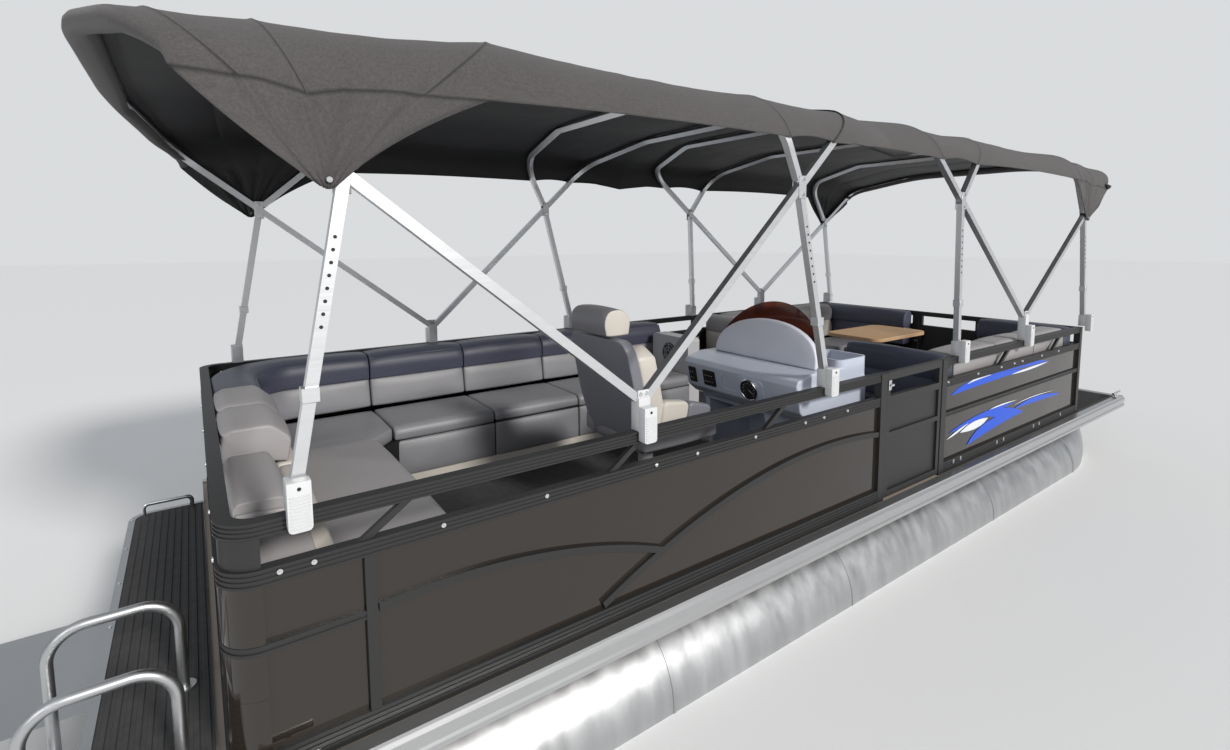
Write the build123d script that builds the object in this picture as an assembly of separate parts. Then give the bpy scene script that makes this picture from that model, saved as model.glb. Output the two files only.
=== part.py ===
"""Pontoon boat: two aluminium tubes, a fenced deck with lounges and a helm, and two framed sun tops.

Millimetres. X runs forward from the stern fence's outer face, Y to port, Z up from the keels.
Every piece is moved aft by MIDSHIP when it is written, so that the origin is under the boat's middle.
"""

from build123d import *
import math
import os

# Hull
MIDSHIP = 2393.29
TUBE_R = 300.0
TUBE_Y = 930.0
KEEL = 8.0
TUBE_Z = TUBE_R + KEEL
TUBE_AFT = -250.0
TUBE_FORE = 5750.0
NOSE_TIP = 6560.0
WELDS = (1481.0, 2699.0, 4323.0, 5750.0)
MEMBER_LOW = 686.0
MEMBER_H = 76.0
MEMBER_PITCH = 406.0
MEMBER_COUNT = 17

# Deck
FLOOR_LOW = MEMBER_LOW + MEMBER_H
FLOOR_TOP = FLOOR_LOW + 22.0
DECK = FLOOR_TOP + 6.0
DECK_AFT = -20.0
DECK_FORE = 6650.0
DECK_HALF = 1262.0
RUB_T = 33.0
PLATFORM_AFT = -330.0
PLATFORM_PORT = 940.0

# Fence
FENCE_HALF = 1220.0
FENCE_FORE = 5770.0
CORNER_R = 100.0
BASE_TOP = DECK + 62.0
TOP_RAIL_LOW = DECK + 523.0
TOP_RAIL_HIGH = DECK + 569.0
GRAB_LOW = DECK + 654.0
GRAB_HIGH = DECK + 695.0
MID_RAIL = DECK + 352.0
SIDE_GATE = (2963.0, 3550.0)
PORT_GATE = (3250.0, 3800.0)
BOW_GATE = (-460.0, 100.0)
POST_W = 56.0
GATE_GAP = 6.0
HINGE_IN = 52.0
HINGE_HEIGHTS = (DECK + 150.0, DECK + 450.0)

# Seats
BASE_H = 290.0
CUSHION_T = 85.0
SEAT_TOP = DECK + BASE_H + CUSHION_T
BACK_TOP = DECK + 700.0
LID_GAP = 5.0
LID_HINGE_Y = 905.0
LID_HINGE_Z = DECK + 355.0

# Sun tops: (x, height over deck) of the side pivots, and the heights of hem and crown
TUBE_W = 32.0
TOP_HALF = 1190.0
FLAT_HALF = 560.0
CROWN = 2110.0

# Outboard motor
TRANSOM_X = -1015.0
TRANSOM_TOP = 655.0
TILT = 40.0
PIVOT = (-1075.0, 0.0, 660.0)
STEER_X = -70.0


def block(x0, x1, y0, y1, z0, z1):
    """A box between two corners."""
    centre = Pos((x0 + x1) / 2, (y0 + y1) / 2, (z0 + z1) / 2)
    return centre * Box(x1 - x0, y1 - y0, z1 - z0)


def rod(start, end, radius):
    """A round bar from start to end."""
    a, b = Vector(*start), Vector(*end)
    plane = Plane(origin=a, z_dir=b - a)
    return extrude(plane * Circle(radius), (b - a).length)


def bar(start, end, width, depth):
    """A square bar from start to end, both on one side of the boat; width lies across the run."""
    a, b = Vector(*start), Vector(*end)
    plane = Plane(origin=a, x_dir=(0, 1, 0), z_dir=b - a)
    return extrude(plane * Rectangle(depth, width), (b - a).length)


def outline(points, radii=None):
    """A closed outline; radii round its corners, one each."""
    if radii is None:
        return make_face(Polyline(*points, close=True))
    return make_face(FilletPolyline(*points, radius=radii, close=True))


def slab(points, y0, y1, radii=None):
    """An outline of (x, z) points, extruded across the boat from y0 to y1."""
    return Pos(0, y1, 0) * extrude(Plane.XZ * outline(points, radii), y1 - y0)


def rib_slab(points, x0, x1):
    """An outline of (y, z) points, extruded along the boat from x0 to x1."""
    return Pos(x0, 0, 0) * extrude(Plane.YZ * outline(points), x1 - x0)


def plan(points, z0, z1, radii=None):
    """An outline of (x, y) points, extruded upwards from z0 to z1."""
    return Pos(0, 0, z0) * extrude(outline(points, radii), z1 - z0)


def group(*shapes):
    """One node of several solids."""
    return Compound(children=[solid for shape in shapes for solid in shape.solids()])


def mirrored(shape):
    """The same piece on the other side of the boat."""
    return mirror(shape, Plane.XZ)


# Rail sections: points (inward, z), inward measured from the fence's outer face
def grooved(inner, outer, low, high, grooves, depth=3.0):
    """A rectangular section whose outer face has evenly spaced grooves."""
    points = [(inner, low), (outer, low)]
    pitch = (high - low) / (2 * grooves + 1)
    for i in range(grooves):
        z = low + pitch * (2 * i + 1)
        points += [(outer, z), (outer + depth, z), (outer + depth, z + pitch), (outer, z + pitch)]
    return points + [(outer, high), (inner, high)]


BASE_SECTION = grooved(40, 0, FLOOR_TOP, BASE_TOP, 4)
TOP_SECTION = grooved(38, 2, TOP_RAIL_LOW, TOP_RAIL_HIGH, 3)
GRAB_SECTION = grooved(44, 3, GRAB_LOW, GRAB_HIGH, 3)
MID_SECTION = grooved(36, 3, MID_RAIL - 13, MID_RAIL + 13, 1)
PANEL_SECTION = [(18, BASE_TOP), (24, BASE_TOP), (24, TOP_RAIL_LOW), (18, TOP_RAIL_LOW)]
CORNER_SECTION = grooved(24, 4, BASE_TOP, TOP_RAIL_LOW, 1, 0.5)
CORNER_LINK = [(10, TOP_RAIL_HIGH), (28, TOP_RAIL_HIGH), (28, GRAB_LOW), (10, GRAB_LOW)]


def run(section, start, end, inward):
    """A straight length of a section along the fence's outer face, from start to end in plan."""
    points = [(start[0] + inward[0] * d, start[1] + inward[1] * d, z) for d, z in section]
    along = Vector(end[0] - start[0], end[1] - start[1], 0)
    return extrude(make_face(Polyline(*points, close=True)), along.length, dir=along.normalized())


def stern_corner(section):
    """The rounded starboard corner of a section."""
    points = [(CORNER_R - d, 0, z) for d, z in section]
    turned = revolve(make_face(Polyline(*points, close=True)), Axis.Z, 90)
    return Pos(CORNER_R, CORNER_R - FENCE_HALF, 0) * Rot(0, 0, 180) * turned


STARBOARD = (0, 1)
PORT = (0, -1)
STERN = (1, 0)
BOW = (-1, 0)


def side_run(section, side, x0, x1):
    """A run along one side: side is STARBOARD or PORT."""
    y = -side[1] * FENCE_HALF
    return run(section, (x0, y), (x1, y), side)


def post(x0, side, high):
    """An upright of the side fence from the deck to high."""
    y0 = -side[1] * FENCE_HALF
    y1 = y0 + side[1] * 40
    return block(x0, x0 + POST_W, min(y0, y1), max(y0, y1), FLOOR_TOP, high)


def pontoon():
    """The starboard tube with its keel strip, weld rings and upswept nose."""
    length = TUBE_FORE - TUBE_AFT
    tube = Pos(TUBE_AFT + length / 2, -TUBE_Y, TUBE_Z) * Rot(0, 90, 0) * Cylinder(TUBE_R, length)
    # nose sections: x, radius, centre height
    stations = [(TUBE_FORE, TUBE_R, TUBE_Z), (6200, 225, 366), (NOSE_TIP, 48, 520)]
    rings = [Plane(origin=(x, -TUBE_Y, z), z_dir=(1, 0, 0)) * Circle(r) for x, r, z in stations]
    tube += loft(rings)
    for x in WELDS:
        tube += Pos(x, -TUBE_Y, TUBE_Z) * Rot(0, 90, 0) * Cylinder(TUBE_R + 3, 12)
    tube += block(TUBE_AFT + 60, TUBE_FORE - 40, -TUBE_Y - 30, -TUBE_Y + 30, 0, KEEL + 4)
    return tube


TOW_EYE = (6490.0, 604.0)


def towing_eye():
    """The plate on top of the starboard nose, with the eye for a shackle."""
    corners = [(6330, 540), (6530, 540), (6530, 632), (6400, 632)]
    plate = slab(corners, -TUBE_Y - 6, -TUBE_Y + 6, [0.1, 0.1, 18, 30])
    plate -= Pos(TOW_EYE[0], -TUBE_Y, TOW_EYE[1]) * Rot(90, 0, 0) * Cylinder(14, 20)
    return plate - pontoon()


def member_stations():
    """X of every cross member, the two under the swim platform included."""
    return [-280.0, -130.0] + [60 + MEMBER_PITCH * i for i in range(MEMBER_COUNT)]


def cross_members():
    """Channels across the boat."""
    members = []
    for x in member_stations():
        port_end = DECK_HALF - 30 if x > DECK_AFT else PLATFORM_PORT - (27 if x > -200 else 80)
        channel = [(x - 20, MEMBER_LOW), (x + 20, MEMBER_LOW), (x + 20, MEMBER_LOW + 6),
                   (x - 14, MEMBER_LOW + 6), (x - 14, FLOOR_LOW - 6), (x + 20, FLOOR_LOW - 6),
                   (x + 20, FLOOR_LOW), (x - 20, FLOOR_LOW)]
        members.append(slab(channel, 30 - DECK_HALF, port_end))
    return Compound(children=members)


def pontoon_brackets():
    """A saddle between each tube and each cross member."""
    saddles = []
    for x in member_stations():
        if x < TUBE_AFT + 30 or x > TUBE_FORE - 40:
            continue
        for y in (-TUBE_Y, TUBE_Y):
            saddle = block(x - 25, x + 25, y - 110, y + 110, TUBE_Z, MEMBER_LOW)
            saddle -= block(x - 30, x + 30, y - 100, y + 100, TUBE_Z, MEMBER_LOW - 8)
            saddle -= Pos(x, y, TUBE_Z) * Rot(0, 90, 0) * Cylinder(TUBE_R, 80)
            saddles.append(saddle)
    return Compound(children=saddles)


def deck_floor():
    return block(DECK_AFT, DECK_FORE, -DECK_HALF, DECK_HALF, FLOOR_LOW, FLOOR_TOP)


def deck_mats():
    """The mats inside the fence, on the bow step and on the swim platform."""
    half = FENCE_HALF - 45
    fore = FENCE_FORE - 50
    corners = [(45, -half + 60), (105, -half), (fore, -half), (fore, half), (105, half), (45, half - 60)]
    inside = plan(corners, FLOOR_TOP, DECK)
    step = block(FENCE_FORE + 6, DECK_FORE - 26, 30 - DECK_HALF, DECK_HALF - 30, FLOOR_TOP, DECK)
    x0, x1, y0, y1 = PLATFORM_AFT + 27, DECK_AFT - 2, 27 - DECK_HALF, PLATFORM_PORT - 27
    platform = plan([(x1, y0), (x1, y1), (x0, y1), (x0, y0)], FLOOR_TOP, DECK, [1, 1, 64, 4])
    return Compound(children=[inside, step, platform])


def rub_section():
    """The ribbed guard section round the deck: (outward, z)."""
    low, high = FLOOR_LOW - 70, DECK + 4
    return [(0, low), (20, low), (RUB_T, low + 12), (RUB_T, low + 28), (26, low + 34), (26, low + 50),
            (RUB_T, low + 56),
            (RUB_T, high - 22), (22, high - 12), (22, high), (-24, high), (-24, FLOOR_TOP), (0, FLOOR_TOP)]


def rub_rails():
    """The guard along both sides and across the bow."""
    section = rub_section()
    rails = []
    for s in (-1, 1):
        points = [(DECK_AFT, s * (DECK_HALF + d), z) for d, z in section]
        face = make_face(Polyline(*points, close=True))
        rails.append(extrude(face, DECK_FORE + RUB_T - DECK_AFT, dir=(1, 0, 0)))
    points = [(DECK_FORE + d, 24.5 - DECK_HALF, z) for d, z in section if d > -1]
    points[-1] = (DECK_FORE, 24.5 - DECK_HALF, FLOOR_TOP)
    rails.append(extrude(make_face(Polyline(*points, close=True)), 2 * DECK_HALF - 49, dir=(0, 1, 0)))
    corner = block(DECK_FORE, DECK_FORE + RUB_T + 1, -DECK_HALF + 24, DECK_HALF - 24, 600, 900)
    sides = [rail - corner for rail in rails[:2]]
    front = rails[2]
    return Compound(children=[*sides, front])


def swim_platform():
    """The step behind the stern fence: a tray with its trim, rounded at the port corner."""
    wall, low = 26.0, FLOOR_LOW - 70
    corners = [(DECK_AFT - 1, -DECK_HALF), (DECK_AFT - 1, PLATFORM_PORT), (PLATFORM_AFT, PLATFORM_PORT),
               (PLATFORM_AFT, -DECK_HALF)]
    rim = plan(corners, low, DECK + 3, [1, 1, 90, 12])
    inner = [(x + (wall if x < -100 else 2), y - math.copysign(wall, y)) for x, y in corners]
    rim -= plan(inner, low - 1, DECK + 4, [1, 1, 64, 2])
    plate = plan(inner, FLOOR_LOW, FLOOR_TOP, [1, 1, 64, 2]) & block(-1000, DECK_AFT - 1, -1300, 1300, 0, 1000)
    return rim + plate


def platform_grab_rail():
    """The small hand rail at the platform's port edge."""
    y, z = PLATFORM_PORT - 55, DECK + 62
    x0, x1, foot = PLATFORM_AFT + 60, DECK_AFT - 50, FLOOR_TOP + 6.5
    path = FilletPolyline((x0, y, foot), (x0, y, z), (x1, y, z), (x1, y, foot), radius=24)
    return sweep(Plane(origin=path @ 0, z_dir=path % 0) * Circle(10), path)


def cleat(x, y):
    """A mooring cleat on the deck's edge."""
    z = DECK + 4
    foot = block(x - 45, x + 45, y - 16, y + 16, z, z + 8)
    for dx in (-24, 24):
        foot += Pos(x + dx, y, z + 22) * Cylinder(8, 30)
    horn = rod((x - 85, y, z + 40), (x + 85, y, z + 40), 9)
    return foot + horn


def mooring_cleats():
    spots = [(6560, 1), (6560, -1), (5000, 1), (120, 1), (120, -1)]
    return Compound(children=[cleat(x, s * (DECK_HALF + 0)) for x, s in spots])


def motor_pod():
    """The box between the tubes that carries the motor, with its transom."""
    side = [(700, 600), (TRANSOM_X + 45, 600), (TRANSOM_X + 20, 250), (-700, 190), (100, 190), (700, 420)]
    pod = slab(side, -330, 330)
    for y in (-300, 260):
        pod += block(-250, 690, y, y + 40, 600, MEMBER_LOW)
    transom = block(TRANSOM_X, TRANSOM_X + 50, -210, 210, 300, TRANSOM_TOP)
    return pod + transom


# Fence frames and panels
def fence_frame_stern():
    """The stern rails between the two rounded corners, and the corners themselves."""
    half = FENCE_HALF - CORNER_R
    pieces = []
    for section in (BASE_SECTION, TOP_SECTION, MID_SECTION):
        pieces.append(run(section, (0, -half), (0, half), STERN))
        corner = stern_corner(section)
        pieces += [corner, mirrored(corner)]
    for y in (-440, 440):
        pieces.append(block(2, 36, y - 15, y + 15, BASE_TOP, MID_RAIL - 13))
        pieces.append(block(2, 36, y - 15, y + 15, MID_RAIL + 13, TOP_RAIL_LOW))
    return Compound(children=pieces)


def arch(points, y_out, y_in, width=26.0):
    """A curved decorative rail on a panel: a band round the arc through three (x, z) points."""
    a, m, b = [Vector(x, 0, z) for x, z in points]
    middle = ThreePointArc(a, m, b)
    centre = middle.arc_center
    r = middle.radius
    grown = [centre + (p - centre) * ((r + width / 2) / r) for p in (a, m, b)]
    shrunk = [centre + (p - centre) * ((r - width / 2) / r) for p in (a, m, b)]
    outer, inner = ThreePointArc(*grown), ThreePointArc(*shrunk)
    face = make_face([outer, Line(grown[2], shrunk[2]), inner, Line(shrunk[0], grown[0])])
    low, high = min(y_out, y_in), max(y_out, y_in)
    solid = extrude(face, high - low, dir=(0, 1, 0))
    return Pos(0, low, 0) * solid


def fence_frame_side(side, x_end, arches):
    """Base, top rail and posts of a side fence from the stern corner to the gate's aft post."""
    end = x_end - POST_W
    pieces = [side_run(BASE_SECTION, side, CORNER_R, end),
              side_run(TOP_SECTION, side, CORNER_R, end),
              side_run(MID_SECTION, side, CORNER_R, 360 - 15),
              post(end, side, GRAB_HIGH)]
    y0, y1 = sorted((-side[1] * (FENCE_HALF - 1), -side[1] * (FENCE_HALF - 38)))
    pieces.append(block(345, 375, y0, y1, BASE_TOP, TOP_RAIL_LOW))
    if arches:
        out, inn = -side[1] * (FENCE_HALF - 3), -side[1] * (FENCE_HALF - 17.9)
        sweep_rail = arch([(1150, BASE_TOP + 15), (1700, DECK + 290), (end - 4, DECK + 372)], out, inn)
        short_rail = arch([(380, DECK + 362), (930, DECK + 340), (1440, DECK + 195)], out, inn)
        window = block(376, end - 1, -1300, 1300, BASE_TOP + 1, TOP_RAIL_LOW - 1)
        sweep_rail = sweep_rail & window
        pieces += [sweep_rail, (short_rail & window) - sweep_rail]
    return pieces


def fence_frame_starboard():
    return Compound(children=fence_frame_side(STARBOARD, SIDE_GATE[0], True))


def fence_frame_port():
    return Compound(children=fence_frame_side(PORT, PORT_GATE[0], True))


def bow_fence(side, x_gate, y_gate):
    """The fence from a side gate's forward post round the bow corner to the bow gate."""
    sign = -side[1]
    corner_post = block(FENCE_FORE - 44, FENCE_FORE, *sorted((sign * FENCE_HALF, sign * (FENCE_HALF - 44))),
                        FLOOR_TOP, GRAB_HIGH)
    post_y = sorted((y_gate, y_gate + sign * POST_W))
    gate_post = block(FENCE_FORE - 40, FENCE_FORE, *post_y, FLOOR_TOP, GRAB_HIGH)
    y0, y1 = sign * (FENCE_HALF - 44), y_gate + sign * POST_W
    pieces = [post(x_gate, side, GRAB_HIGH), corner_post, gate_post]
    for section in (BASE_SECTION, TOP_SECTION, MID_SECTION):
        pieces.append(side_run(section, side, x_gate + POST_W, FENCE_FORE - 44))
        pieces.append(run(section, (FENCE_FORE, y0), (FENCE_FORE, y1), BOW))
    return Compound(children=pieces)


def fence_panels_stern():
    half = FENCE_HALF - CORNER_R
    panel = run(PANEL_SECTION, (0, -half), (0, half), STERN)
    panel -= block(0, 40, -1200, 1200, MID_RAIL - 13.1, MID_RAIL + 13.1)
    for y in (-440, 440):
        panel -= block(0, 40, y - 15.1, y + 15.1, 700, 1500)
    corner = stern_corner(CORNER_SECTION)
    corner -= block(-1, 110, -1230, -1100, MID_RAIL - 13.1, MID_RAIL + 13.1)
    return Compound(children=[*panel.solids(), *corner.solids(), *mirrored(corner).solids()])


def fence_panels_side(side, x_end):
    """The panels of an aft side fence: one each side of the first post."""
    end = x_end - POST_W
    first = side_run(PANEL_SECTION, side, CORNER_R, 344.9)
    first -= block(90, 350, -1300, 1300, MID_RAIL - 13.1, MID_RAIL + 13.1)
    second = side_run(PANEL_SECTION, side, 375.1, end - 0.1)
    return Compound(children=[*first.solids(), second])


def fence_panels_bow(side, x_gate, y_gate):
    sign = -side[1]
    long = side_run(PANEL_SECTION, side, x_gate + POST_W + 0.1, FENCE_FORE - 44.1)
    y0, y1 = sign * (FENCE_HALF - 44.1), y_gate + sign * (POST_W + 0.1)
    front = run(PANEL_SECTION, (FENCE_FORE, y0), (FENCE_FORE, y1), BOW)
    cut = block(0, 6000, -1300, 1300, MID_RAIL - 13.1, MID_RAIL + 13.1)
    return Compound(children=[*(long - cut).solids(), *(front - cut).solids()])


# Grab rails over the fence and their slanted standoffs
def standoff(x, side):
    """A slanted flat strut from the fence's top rail up and forward to the grab rail."""
    y0, y1 = sorted((-side[1] * (FENCE_HALF - 12), -side[1] * (FENCE_HALF - 30)))
    foot, head = x, x + 120
    points = [(foot, TOP_RAIL_HIGH), (foot + 34, TOP_RAIL_HIGH), (head + 34, GRAB_LOW), (head, GRAB_LOW)]
    return slab(points, y0, y1)


def grab_rail_aft(side, x_end, stand_at):
    """Grab rail along one side from the stern corner to the gate post."""
    rail = side_run(GRAB_SECTION, side, CORNER_R, x_end - POST_W)
    return Compound(children=[rail] + [standoff(x, side) for x in stand_at])


def grab_rail_stern():
    half = FENCE_HALF - CORNER_R
    rail = run(GRAB_SECTION, (0, -half), (0, half), STERN)
    corner = stern_corner(GRAB_SECTION)
    link = stern_corner(CORNER_LINK)
    pieces = [rail, corner, mirrored(corner), link, mirrored(link)]
    for y in (-440, 440):
        pieces.append(block(12, 30, y - 12, y + 12, TOP_RAIL_HIGH, GRAB_LOW))
    return Compound(children=pieces)


def grab_rail_bow(side, x_gate, y_gate, stand_at):
    sign = -side[1]
    rail = side_run(GRAB_SECTION, side, x_gate + POST_W, FENCE_FORE - 44)
    y0, y1 = sign * (FENCE_HALF - 44), y_gate + sign * POST_W
    front = run(GRAB_SECTION, (FENCE_FORE, y0), (FENCE_FORE, y1), BOW)
    return Compound(children=[rail, front] + [standoff(x, side) for x in stand_at])


# Gates: made lying along +X from the latch end at 0 to the hinge end at length, outer face at y 0, inwards +Y
def gate(length):
    """Frame, panels and hinge knuckles of one gate."""
    stile = 30.0
    frame = block(0, stile, 3, 33, FLOOR_TOP + 12, GRAB_HIGH)
    frame += block(length - stile, length, 3, 33, FLOOR_TOP + 12, GRAB_HIGH)
    rails = [(FLOOR_TOP + 12, FLOOR_TOP + 46), (MID_RAIL - 13, MID_RAIL + 13),
             (TOP_RAIL_LOW + 4, TOP_RAIL_HIGH - 4), (GRAB_LOW, GRAB_HIGH)]
    for low, high in rails:
        frame += block(0, length, 3, 33, low, high)
    frame += block(stile, length - stile, 16, 22, FLOOR_TOP + 40, TOP_RAIL_LOW + 10)
    for z in HINGE_HEIGHTS:
        frame += block(length - 40, length - 14, 33, 56, z - 28, z + 28)
        frame += block(length - 20, length, 48, 56, z - 28, z + 28)
        frame += Pos(length, HINGE_IN, z) * Cylinder(9, 56)
        frame -= Pos(length, HINGE_IN, z) * Cylinder(4.5, 60)
    return frame


def gate_pins(length):
    """The hinge pins and the lugs that hold them, which stay on the post."""
    pins = []
    for z in HINGE_HEIGHTS:
        pin = Pos(length, HINGE_IN, z) * Cylinder(4.4, 92)
        for dz in (-38, 38):
            pin += Pos(length, HINGE_IN, z + dz) * Cylinder(9, 16)
            pin += block(length + 4, length + 36, 40, 50, z + dz - 8, z + dz + 8)
        pins.append(pin)
    return pins


def place_gate(shape, where):
    """Puts a gate piece in its opening."""
    if where == "side":
        return Pos(SIDE_GATE[0] + GATE_GAP, -FENCE_HALF, 0) * shape
    if where == "port":
        flipped = mirror(shape, Plane.XZ)
        return Pos(PORT_GATE[0] + GATE_GAP, FENCE_HALF, 0) * flipped
    return Pos(FENCE_FORE, BOW_GATE[0] + GATE_GAP, 0) * Rot(0, 0, 90) * shape


GATE_LENGTHS = {"side": SIDE_GATE[1] - SIDE_GATE[0] - 2 * GATE_GAP,
                "port": PORT_GATE[1] - PORT_GATE[0] - 2 * GATE_GAP,
                "bow": BOW_GATE[1] - BOW_GATE[0] - 2 * GATE_GAP}


def gate_hinges():
    pieces = []
    for where, length in GATE_LENGTHS.items():
        pieces += [place_gate(p, where) for p in gate_pins(length)]
    return Compound(children=pieces)


# Lounges
LID = {"port": (1465, 2060), "bow_starboard": (4400, 5000), "bow_port": (4400, 5000)}
STORE_WALL = 40.0


def lounge_base(edge, stores):
    """A seat base with a toe recess and open storage wells under its lids."""
    body = plan(edge, DECK + 60, DECK + BASE_H)
    toe = offset(make_face(Polyline(*edge, close=True)), -45, kind=Kind.INTERSECTION)
    body += Pos(0, 0, DECK) * extrude(toe, 60)
    for x0, x1, y0, y1 in stores:
        body -= block(x0, x1, y0, y1, DECK + 30, DECK + BASE_H + 1)
    return body


AFT_OUTLINE = [(110, 1165), (55, 1110), (55, -860), (740, -860), (740, 300), (900, 450), (3060, 450),
               (3060, 1165)]
BOW_S_OUTLINE = [(3640, -1165), (5715, -1165), (5715, -500), (3640, -500)]
BOW_P_OUTLINE = [(3900, 1165), (3900, 470), (5080, 470), (5080, 150), (5715, 150), (5715, 1165)]


def lounge_base_aft():
    x0, x1 = LID["port"]
    return lounge_base(AFT_OUTLINE, [(x0 + 30, x1 - 30, 500, 870)])


def lounge_base_bow_starboard():
    x0, x1 = LID["bow_starboard"]
    return lounge_base(BOW_S_OUTLINE, [(x0 + 30, x1 - 30, -870, -550)])


def lounge_base_bow_port():
    x0, x1 = LID["bow_port"]
    return lounge_base(BOW_P_OUTLINE, [(x0 + 30, x1 - 30, 520, 870)])


CUSHION_LOW = DECK + BASE_H + LID_GAP


def pad(x0, x1, y0, y1, low=DECK + BASE_H, high=SEAT_TOP, r=22.0):
    """A seat pad with rounded top edges."""
    solid = block(x0, x1, y0, y1, low, high)
    return fillet(solid.edges().group_by(Axis.Z)[-1], r)


def aft_seat_cushions():
    pads = [pad(860 + 5, 1460, 440, 905), pad(2065, 2660, 440, 905), pad(2665, 3055, 440, 905)]
    corner = plan([(250, 905), (250, 330), (735, 330), (860, 450), (860, 905)], DECK + BASE_H, SEAT_TOP)
    stern = pad(250, 750, -850, 325)
    return Compound(children=[*pads, corner, stern])


def port_seat_lid():
    x0, x1 = LID["port"]
    return pad(x0, x1, 440, 905, CUSHION_LOW)


def back_profile(s, foot, top, fence=1165.0):
    """The section of a backrest on side s: (y, z), leaning outwards."""
    points = [(foot, DECK + BASE_H), (foot + 12, SEAT_TOP), (top - 22, BACK_TOP - 55), (top, BACK_TOP - 12),
              (top + 26, BACK_TOP), (fence - 18, BACK_TOP), (fence, BACK_TOP - 18), (fence, DECK + BASE_H)]
    return [(s * y, z) for y, z in points]


def aft_backrests():
    pieces = []
    for x0, x1 in [(270, 860), (865, 1460), (1465, 2060), (2065, 2660), (2665, 3190)]:
        pieces.append(rib_slab(back_profile(1, 930, 985), x0, x1))
    # stern backrest: (x, z)
    section = [(55, DECK + BASE_H), (55, DECK + 600), (75, DECK + 625), (215, DECK + 625), (240, DECK + 600),
               (245, DECK + BASE_H)]
    for y0, y1 in [(-860, -445), (-440, 440), (445, 1125)]:
        pieces.append(slab(section, y0, y1))
    return Compound(children=pieces)


def stern_headrests():
    """Two rolled pads that stand on the stern backrest."""
    section = [(55, DECK + 626), (55, DECK + 690), (80, DECK + 712), (200, DECK + 712), (245, DECK + 690),
               (262, DECK + 640), (262, DECK + 560), (246, DECK + 552), (246, DECK + 626)]
    pieces = [slab(section, -350, 30), slab(section, 40, 420)]
    return Compound(children=pieces)


def speaker_pod():
    """The end panel of the port lounge, with the round seat for a speaker."""
    pod = block(3062, 3180, 470, 900, DECK, DECK + 640)
    pod = fillet(pod.edges().filter_by(Axis.X), 30)
    pod -= Pos(3062, 690, DECK + 500) * Rot(0, 90, 0) * Cylinder(72, 60)
    return pod


def speaker():
    body = Pos(3075, 690, DECK + 500) * Rot(0, 90, 0) * Cylinder(70, 30)
    rim = Pos(3058, 690, DECK + 500) * Rot(0, 90, 0) * Cylinder(82, 7)
    return body + rim


def bow_seat_cushions():
    pads = [pad(3800, 4395, -905, -510), pad(5005, 5560, -905, -510)]
    pads += [pad(4060, 4395, 480, 905), pad(5005, 5560, 480, 905), pad(5090, 5560, 160, 475)]
    return Compound(children=pads)


def bow_starboard_seat_lid():
    x0, x1 = LID["bow_starboard"]
    return pad(x0, x1, -905, -510, CUSHION_LOW)


def bow_port_seat_lid():
    x0, x1 = LID["bow_port"]
    return pad(x0, x1, 480, 905, CUSHION_LOW)


def cross_back(x0, x1, y0, y1, lean):
    """A backrest across the boat; lean moves its top along X."""
    points = [(x0, DECK + BASE_H), (x0 + lean, BACK_TOP - 20), (x0 + lean + 20, BACK_TOP),
              (x1 + lean - 20, BACK_TOP), (x1 + lean, BACK_TOP - 20), (x1, DECK + BASE_H)]
    return slab(points, y0, y1)


def bow_backrests():
    pieces = []
    for x0, x1 in [(3800, 4395), (4400, 4995), (5000, 5560)]:
        pieces.append(rib_slab(back_profile(-1, 930, 985), x0, x1))
    for x0, x1 in [(4060, 4395), (4400, 4995), (5000, 5560)]:
        pieces.append(rib_slab(back_profile(1, 930, 985), x0, x1))
    pieces.append(cross_back(5575, 5715, -1165, -505, 0))
    pieces.append(cross_back(5575, 5715, 155, 1165, 0))
    pieces.append(cross_back(3650, 3780, -1165, -505, 0))
    pieces.append(cross_back(3910, 4045, 480, 1165, 0))
    return Compound(children=pieces)


# Helm
CONSOLE_Y = (-1110.0, -290.0)
CONSOLE_TOP = DECK + 737.0
# The knee recess leaves a solid pod to starboard and a thin leg to port
KNEES_IN = (330.0, 60.0)
# the dash's face: across the boat, up the slope, outwards
DASH = Plane(origin=(2368, 0, DECK + 614.5), x_dir=(0, 1, 0), z_dir=(-139, 0, -32))


def helm_console():
    """A moulded desk: a tilted dash that overhangs the knee recess, tapered sides and a tray ahead of it."""
    y0, y1 = CONSOLE_Y
    side = [(2560, DECK), (2930, DECK), (2940, DECK + 640), (2900, CONSOLE_TOP), (2480, CONSOLE_TOP),
            (2366, DECK + 712), (2352, DECK + 684), (2384, DECK + 545), (2440, DECK + 500), (2500, DECK + 470)]
    body = slab(side, y0, y1, [1, 1, 60, 30, 60, 14, 14, 30, 60, 60])
    body = fillet(body.edges().group_by(Axis.Y)[0] + body.edges().group_by(Axis.Y)[-1], 9)
    knees = [(2300, DECK - 1), (2860, DECK - 1), (2860, DECK + 400), (2780, DECK + 450), (2300, DECK + 450)]
    body -= slab(knees, y0 + KNEES_IN[0], y1 - KNEES_IN[1], [1, 1, 70, 70, 1])
    # both sides are drawn in below the dash
    for y, s in ((y0, 1), (y1, -1)):
        cut = [(y - s * 2, DECK - 1), (y + s * 26, DECK - 1), (y + s * 26, DECK + 440), (y - s * 2, DECK + 530)]
        body -= rib_slab(cut, 2300, 3000)
    body -= DASH * Pos(-640, 0, 0) * extrude(RectangleRounded(110, 84, 12), -5)
    body += DASH * Pos(-800, 0, -2) * extrude(RectangleRounded(180, 118, 30), 10, taper=20)
    return with_tray(body)


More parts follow.
